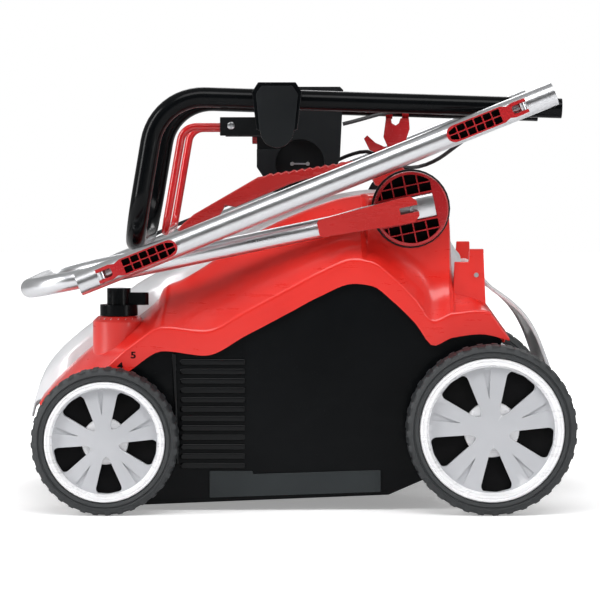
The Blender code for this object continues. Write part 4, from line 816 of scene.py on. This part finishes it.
def slanting(angle):
    return Vector((math.cos(math.radians(angle)), 0, math.sin(math.radians(angle))))


def makeLowerHandle():
    shape, out = handleShape, Vector((0, handleShape["plane"], 0))
    reach = (pivot.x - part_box("lower_handle")[0].x - shape["lowerRadius"]) / -lowerAlong.x
    nose = pivot + lowerAlong * reach
    body = roundedPath([pivot - out, nose - out, nose + out, pivot + out], shape["bend"])
    ends = []
    for i in range(16):
        distance = -shape["plateOver"] + (shape["blendEnd"] + shape["plateOver"]) * i / 15
        t = easeIn(distance, shape["plateEnd"], shape["plateRun"])   # flat end to round tube
        ends.append((pivot + lowerAlong * distance,
                     (shape["plateHalfY"] / shape["lowerRadius"] * (1 - t) + t,
                      shape["plateHalfZ"] / shape["lowerRadius"] * (1 - t) + t)))
    path = [spot - out for spot, _ in ends] + body[1:-1] + [spot + out for spot, _ in reversed(ends)]
    scales = [scale for _, scale in ends] + [(1, 1)] * (len(body) - 2)
    scales += [scale for _, scale in reversed(ends)]
    tube = sweptTube("lowerTube", path, shape["lowerRadius"], mats["drawnAluminium"], scales=scales)
    ridesAs(tube, "lower_handle", ("lower_handle",))


def makeUpperHandle():
    shape, out = handleShape, Vector((0, handleShape["plane"], 0))
    tail = upperHinge - slanting(shape["upperAngle"]) * shape["upperOver"]
    corner = upperHinge + slanting(shape["upperAngle"]) * shape["upperLength"]
    grip = corner + slanting(shape["legAngle"]) * shape["legLength"]
    route = [tail - out, corner - out, grip - out, grip + out, corner + out, tail + out]
    tube = sweptTube("upperTube", roundedPath(route, shape["bend"]), shape["upperRadius"],
                     mats["blackEnamel"])
    ridesAs(tube, "upper_handle", ("upper_handle",))


def makeMiddleBars():
    shape = handleShape
    start = middleHinge - middleAlong * shape["frontOver"]
    end = upperHinge + middleAlong * shape["rearOver"]
    for word, side in sides:
        out = Vector((0, side * shape["outerPlane"], 0))
        tube = sweptTube(f"middleTube_{word}", [start + out, start.lerp(end, 0.5) + out, end + out],
                         shape["middleRadius"], mats["drawnAluminium"], count=48)
        ridesAs(tube, "middle_bars", (f"middle_bar_{word}",))


makeLowerHandle()
makeUpperHandle()
makeMiddleBars()
print("handle made")


# Clamps and levers

discShape = {"radius": 0.042, "thick": 0.0155, "floor": 0.0045, "wall": 0.0036, "rib": 0.0013,
             "channel": 0.0138, "edge": 0.0022, "crescent": -0.0268, "channelFloor": 0.0098,
             "ribsX": (-0.0135, 0.0010, 0.0155, 0.0290), "ribY": 0.0255, "bore": 0.0033}
leverShape = {"half": 0.0095, "length": 0.090, "cells": 6, "rim": 0.0017, "rib": 0.0013,
              "cellStart": 0.0265, "cellFloor": 0.0035, "thick": 0.0115, "forkHalf": 0.0046,
              "forkEnd": 0.0125, "neck": [(0.0245, 0.0095), (0.0175, 0.0068), (0.0110, 0.0086),
                                          (-0.0045, 0.0082)]}


def makeDiscMesh():
    shape, top = discShape, discShape["thick"] + 0.01
    r, thick, red = shape["radius"], shape["thick"], mats["deepRed"]
    profile = [(shape["bore"], 0), (r, 0), (r, thick - 0.0016), (r - 0.0006, thick - 0.0005),
               (r - 0.0016, thick), (shape["bore"], thick)]
    disc = turned("clampDisc", profile, red, 96)
    room = r - shape["wall"]
    pockets = turned("cut", [(0, shape["floor"]), (room, shape["floor"]), (room, top), (0, top)],
                     red, 96)
    band, far = shape["channel"] + shape["edge"], 0.06   # far is past the disc's rim
    keep = [block("rib", (-far, -far, 0), (shape["crescent"], far, top), red),
            block("rib", (-far, -band, 0), (far, band, top), red)]
    for x in shape["ribsX"]:
        keep.append(block("rib", (x, -far, 0), (x + shape["rib"], far, top), red))
    for side in (-1, 1):
        low, high = sorted((side * shape["ribY"], side * (shape["ribY"] + shape["rib"])))
        keep.append(block("rib", (-far, low, 0), (far, high, top), red))
    carved(pockets, keep)
    channel = block("cut", (shape["crescent"], -shape["channel"], shape["channelFloor"]),
                    (far, shape["channel"], top), red)
    carved(disc, [pockets, channel])
    return bevelled(disc, 0.00045, 2, 45)


def makeLeverMesh():
    shape, red = leverShape, mats["deepRed"]
    half, tip = shape["half"], shape["length"] - shape["half"]
    outline = [(x, -y) for x, y in reversed(shape["neck"])]
    outline += arcPoints((tip, 0), half, -90, 90, 12) + shape["neck"]
    lever = prism("quickLever", outline, 0.0, shape["thick"], red, "Z")
    slot, end = shape["forkHalf"], shape["forkEnd"]
    fork = filleted([(-0.02, -slot), (end, -slot), (end, slot), (-0.02, slot)], 0.003)
    carved(lever, [prism("cut", fork, -0.01, 0.05, red, "Z")])
    cuts = []
    start, end = shape["cellStart"], shape["length"] - shape["rim"]
    pitch = (end - start) / shape["cells"]
    for i in range(shape["cells"]):
        x0, x1 = start + i * pitch, start + (i + 1) * pitch - shape["rib"]
        reach, inner = half - shape["rim"], shape["rib"] / 2
        near, far = (math.sqrt(max(0.0, reach ** 2 - max(0.0, x - tip) ** 2)) for x in (x0, x1))
        for row in (-1, 1):
            corners = [(x0, row * inner), (x1, row * inner), (x1, row * max(far, inner + 0.0012)),
                       (x0, row * near)]
            cuts.append(prism("cut", filleted(corners, 0.0009, 3), shape["cellFloor"], 0.05,
                              red, "Z"))
    carved(lever, [joined(cuts)])
    return bevelled(lever, 0.0004, 2, 45)


def copied(source, name, matrix):
    return moved(placed(name, source.data.copy()), matrix)


def sideBase(node, side):   # the Y of the face that lies toward the machine
    low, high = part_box(node)
    return low.y if side > 0 else high.y


def makeClamps():
    disc, lever = makeDiscMesh(), makeLeverMesh()
    bore, edge = discShape["bore"], discShape["radius"] - 0.003
    # a thin black disc for the clamp disc's pocket floors and a black sheet for the lever cell floors: painted
    # shade in these hollows
    pocketShade = turned("clampPocketShade", [(bore, 0), (edge, 0), (edge, 0.0006), (bore, 0.0006)],
                       mats["paintedShadeBlack"], 64)
    cellShade = prism("leverCellShade", arcPoints((leverShape["length"] - 0.0095, 0), 0.0084, -90, 90, 10)
                 + [(0.0255, 0.0084), (0.0255, -0.0084)], 0, 0.0005, mats["paintedShadeBlack"], "Z")
    for word, side in sides:
        base = sideBase(f"pivot_disc_{word}", side)
        place = standing((pivot.x, base, pivot.z), lowerAlong, (0, side, 0))
        ridesAs(copied(disc, f"clampDisc_{word}", place), "lower_handle", (f"pivot_disc_{word}",))
        # black disc laid on the pocket floors: painted shade
        raised = place @ Matrix.Translation((0, 0, discShape["floor"]))
        ridesAs(copied(pocketShade, f"clampPocketShade_{word}", raised), "lower_handle", ())
        refined(f"pivot_seat_{word}", mats["satinBlack"], 0.0005)
        refined(f"pivot_lever_{word}", mats["leverRed"], 0.0022, 4)
        refined(f"pivot_bolt_{word}", mats["zincSteel"], 0.0002)
        for node, hinge, along in ((f"middle_lever_{word}", middleHinge, middleAlong),
                                   (f"upper_lever_{word}", upperHinge, -middleAlong)):
            place = standing((hinge.x, sideBase(node, side), hinge.z), along, (0, side, 0))
            ridesAs(copied(lever, node.replace("lever", "quickLever"), place), node, (node,))
            # black sheet laid on the lever cell floors: painted shade
            raised = place @ Matrix.Translation((0, 0, leverShape["cellFloor"]))
            ridesAs(copied(cellShade, node.replace("lever", "leverCellShade"), raised), node, ())
            refined(node.replace("lever", "bolt"), mats["zincSteel"], 0.0003)
    for obj in (disc, lever, pocketShade, cellShade):
        bpy.data.objects.remove(obj, do_unlink=True)


makeClamps()
print("clamps made")


# Controls on the upper handle

controlShape = {"screw": 0.0042, "slotHalf": 0.0005, "panelBottom": 0.0190, "bailSpan": 0.1218,
                "bailFoot": (-0.1477, 0.3117), "bailBendX": -0.127, "bailBend": 0.018,
                "bailIntoArm": 0.010}


def makeControls():
    refined("bail_bracket", mats["ribBlack"], 0.0034, 4)
    refined("switch_housing", mats["satinBlack"], 0.0022, 4)
    refined("cord_hook", mats["deepRed"], 0.0009, 3)
    refined("start_button", mats["deepRed"], 0.0008, 3)
    refined("inlet_pins", mats["zincSteel"], 0.0004)
    for word, side in sides:
        refined(f"bail_arm_{word}", mats["satinBlack"], 0.0012, 3)
    low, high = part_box("bail_bracket")
    middle = (low.x + high.x) / 2
    bottom = low.z + controlShape["panelBottom"]
    face = [(low.x + 0.0105, high.z - 0.0040), (low.x + 0.0045, high.z - 0.0130),
            (low.x + 0.0085, bottom)]
    face += arcPoints((middle, bottom), (high.x - low.x) / 2 - 0.0095, 180, 360, 14)
    face += [(high.x - 0.0085, bottom), (high.x - 0.0045, high.z - 0.0130),
             (high.x - 0.0105, high.z - 0.0040)]
    plate = prism("shieldPanel", filleted(face, 0.002, 3), low.y - 0.0011, low.y + 0.0004,
                  mats["satinBlack"])
    ridesAs(bevelled(plate, 0.0007, 3), "upper_handle", ())
    for word, side in sides:
        armLow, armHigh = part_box(f"bail_arm_{word}")
        outer = armLow.y if side < 0 else armHigh.y
        at = Vector((armLow.x + 0.0125, outer, (armLow.z + armHigh.z) / 2 + 0.0008))
        r, slot = controlShape["screw"], controlShape["slotHalf"]
        head = turned(f"armScrew_{word}", [(0, 0.0016), (r * 0.75, 0.0014), (r, 0.0006), (r, -0.0008),
                                           (0, -0.0008)], mats["zincSteel"], 40)
        carved(head, [block("cut", (-a, -b, 0.0006), (a, b, 0.01), mats["zincSteel"])
                      for a, b in ((r, slot), (slot, r))])
        ridesAs(moved(head, standing(at, (1, 0, 0), (0, side, 0))), "bail", ())


def makeBail():
    shape = controlShape
    low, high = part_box("bail")
    r = (high.y - low.y) / 2 - shape["bailSpan"]
    z, out = high.z - r, Vector((0, high.y - r, 0))
    foot = Vector((shape["bailFoot"][0], 0, shape["bailFoot"][1]))
    bend = Vector((shape["bailBendX"], 0, z))
    start = Vector((high.x + shape["bailIntoArm"], 0, z))
    route = [start - out, bend - out, foot - out, foot + out, bend + out, start + out]
    rod = sweptTube("bailRod", roundedPath(route, shape["bailBend"], 10), r, mats["redEnamel"],
                    wall=0.002, count=24)
    ridesAs(rod, "bail", ("bail",))


makeControls()
makeBail()
print("controls made")


# Deck

deckShape = {"ribs": 12, "ribPitch": 0.0106, "ribHeight": 0.0072, "ribTop": 0.1712,
             "ribFront": -0.1292, "ribRear": -0.0560, "ribProud": 0.0024,
             "post": [(-0.1335, 0.178), (-0.1385, 0.178), (-0.1345, 0.052), (-0.1300, 0.052)],
             "skirt": [(-0.0960, 0.0150), (0.0960, 0.0215), (0.0960, 0.0460), (-0.0475, 0.0415),
                       (-0.0475, 0.0450), (-0.0960, 0.0450)]}


def makeDeck():
    refined("deck", mats["glossBlack"], 0.0012)
    shape = deckShape
    for word, side in sides:
        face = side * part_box("deck")[1].y
        ribs = []
        for i in range(shape["ribs"]):
            top = shape["ribTop"] - i * shape["ribPitch"]
            middle, half = top - shape["ribHeight"] / 2, shape["ribHeight"] / 2
            outline = arcPoints((shape["ribFront"] + half, middle), half, 90, 270, 8)
            outline += [(shape["ribRear"], middle - half), (shape["ribRear"], middle + half)]
            edges = sorted((face - side * 0.0016, face + side * shape["ribProud"]))
            rib = prism("rib", outline, *edges, mats["ribBlack"])
            ribs.append(bevelled(rib, 0.0016, 4, 30))
        ribs = joined(ribs)
        ribs.name = f"deckRibs_{word}"
        ridesAs(shadeRound(ribs, 40), "chassis", ())
        edges = sorted((face - side * 0.001, face + side * 0.0026))
        post = prism(f"deckPost_{word}", shape["post"], *edges, mats["ribBlack"])
        ridesAs(bevelled(post, 0.0018, 4, 30), "chassis", ())
        edges = sorted((face - side * 0.001, face + side * 0.0022))
        plate = prism(f"deckSkirt_{word}", filleted(shape["skirt"], 0.0015, 3), *edges,
                      mats["skirtBlack"])
        ridesAs(bevelled(plate, 0.0012, 3, 30), "chassis", ())


makeDeck()
refined("carry_handle", mats["leverRed"], 0.0022, 3)
refined("height_knob", mats["glossBlack"], 0.0012, 3)
print("deck made")


# Pieces that keep their solids

keptSolids = {
    "zincSteel": ("flap_rod", "flap_spring", "front_axle", "rear_axle", "motor_can", "rotor",
                  "upper_bearing", "lower_bearing", "blade", "blade_bolt"),
    "copperWire": ("stator",), "satinBlack": ("blade_carrier",),
    "cableSheath": ("cable_upper", "cable_middle"),
}

for look, nodes in keptSolids.items():
    for node in nodes:
        skins = cadNodes[node].data.materials
        skins.clear()
        skins.append(mats[look])
print("solids dressed")


# Floor, light and camera

# glow and backdrop show to the camera only; flag is the darker side of the room, toward the camera
studio = {"floor": (0.93, 0.93, 0.935), "glow": 1.0, "world": 0.34, "flag": 0.03, "backdrop": 1.0,
          "lights": (("keyLight", (-2.6, -1.4, 1.3), (0.8, 2.2), 58.0),
                     ("topLight", (0.2, -1.9, 2.7), (3.0, 1.2), 52.0),
                     ("fillLight", (2.4, -2.2, 0.9), (0.7, 1.8), 26.0),
                     ("backLight", (0.3, 2.6, 2.0), (2.2, 1.2), 24.0)),
          "cameraAt": (0.0055, -3.422, 0.4048), "cameraTo": (0.0055, -0.222, 0.2398), "lens": 174.5}


def makeFloor():
    mat = bpy.data.materials.new("floorPaper")
    mat.use_nodes = True
    tree = mat.node_tree
    shader = tree.nodes["Principled BSDF"]
    shader.inputs["Base Color"].default_value = (*studio["floor"], 1)
    shader.inputs["Roughness"].default_value = 0.9
    shader.inputs["Emission Color"].default_value = (1, 1, 1, 1)
    spot = addNode(tree, "ShaderNodeTexCoord")
    away = addNode(tree, "ShaderNodeVectorMath", {0: spot.outputs["Object"]}, operation="LENGTH")
    glow = addNode(tree, "ShaderNodeMapRange", {"Value": away.outputs["Value"], "From Min": 0.30,
                                                "From Max": 1.0, "To Min": 0.30,
                                                "To Max": studio["glow"]})
    path = addNode(tree, "ShaderNodeLightPath")
    seen = addNode(tree, "ShaderNodeMath", {0: glow.outputs["Result"],
                                            1: path.outputs["Is Camera Ray"]}, operation="MULTIPLY")
    tree.links.new(seen.outputs[0], shader.inputs["Emission Strength"])
    newObject("floor", [(-8, -8, 0), (8, -8, 0), (8, 8, 0), (-8, 8, 0)], [(0, 1, 2, 3)],
                       mat)


def makeWorld():
    world = bpy.data.worlds.new("studio")
    bpy.context.scene.world = world
    world.use_nodes = True
    tree = world.node_tree
    room = tree.nodes["Background"]
    room.inputs["Color"].default_value = (1, 1, 1, 1)
    spot = addNode(tree, "ShaderNodeTexCoord")
    facing = addNode(tree, "ShaderNodeSeparateXYZ", {0: spot.outputs["Generated"]})
    flag = addNode(tree, "ShaderNodeMapRange", {"Value": facing.outputs["Y"], "From Min": -0.95,
                                                "From Max": -0.35, "To Min": studio["flag"],
                                                "To Max": studio["world"]})
    tree.links.new(flag.outputs["Result"], room.inputs["Strength"])
    seen = addNode(tree, "ShaderNodeBackground", {"Color": (1, 1, 1, 1),
                                                  "Strength": studio["backdrop"]})
    path = addNode(tree, "ShaderNodeLightPath")
    mix = addNode(tree, "ShaderNodeMixShader", {0: path.outputs["Is Camera Ray"],
                                                1: room.outputs[0], 2: seen.outputs[0]})
    tree.links.new(mix.outputs[0], tree.nodes["World Output"].inputs["Surface"])


def makeStudio():
    for name, place, size, power in studio["lights"]:
        lamp = bpy.data.lights.new(name, "AREA")
        lamp.shape, lamp.size, lamp.size_y, lamp.energy = "RECTANGLE", *size, power
        obj = placed(name, lamp)
        obj.location = place
        obj.rotation_euler = (Vector((0, 0, 0.2)) - Vector(place)).to_track_quat("-Z", "Y").to_euler()
    camera = bpy.data.cameras.new("camera")
    camera.lens, camera.sensor_width, camera.clip_end = studio["lens"], 36.0, 50.0
    eye = placed("camera", camera)
    eye.location = studio["cameraAt"]
    aim = Vector(studio["cameraTo"]) - Vector(studio["cameraAt"])
    eye.rotation_euler = aim.to_track_quat("-Z", "Y").to_euler()
    bpy.context.scene.camera = eye
    bpy.context.scene.view_settings.view_transform = "Standard"


makeFloor()
makeWorld()
makeStudio()
print("studio made")
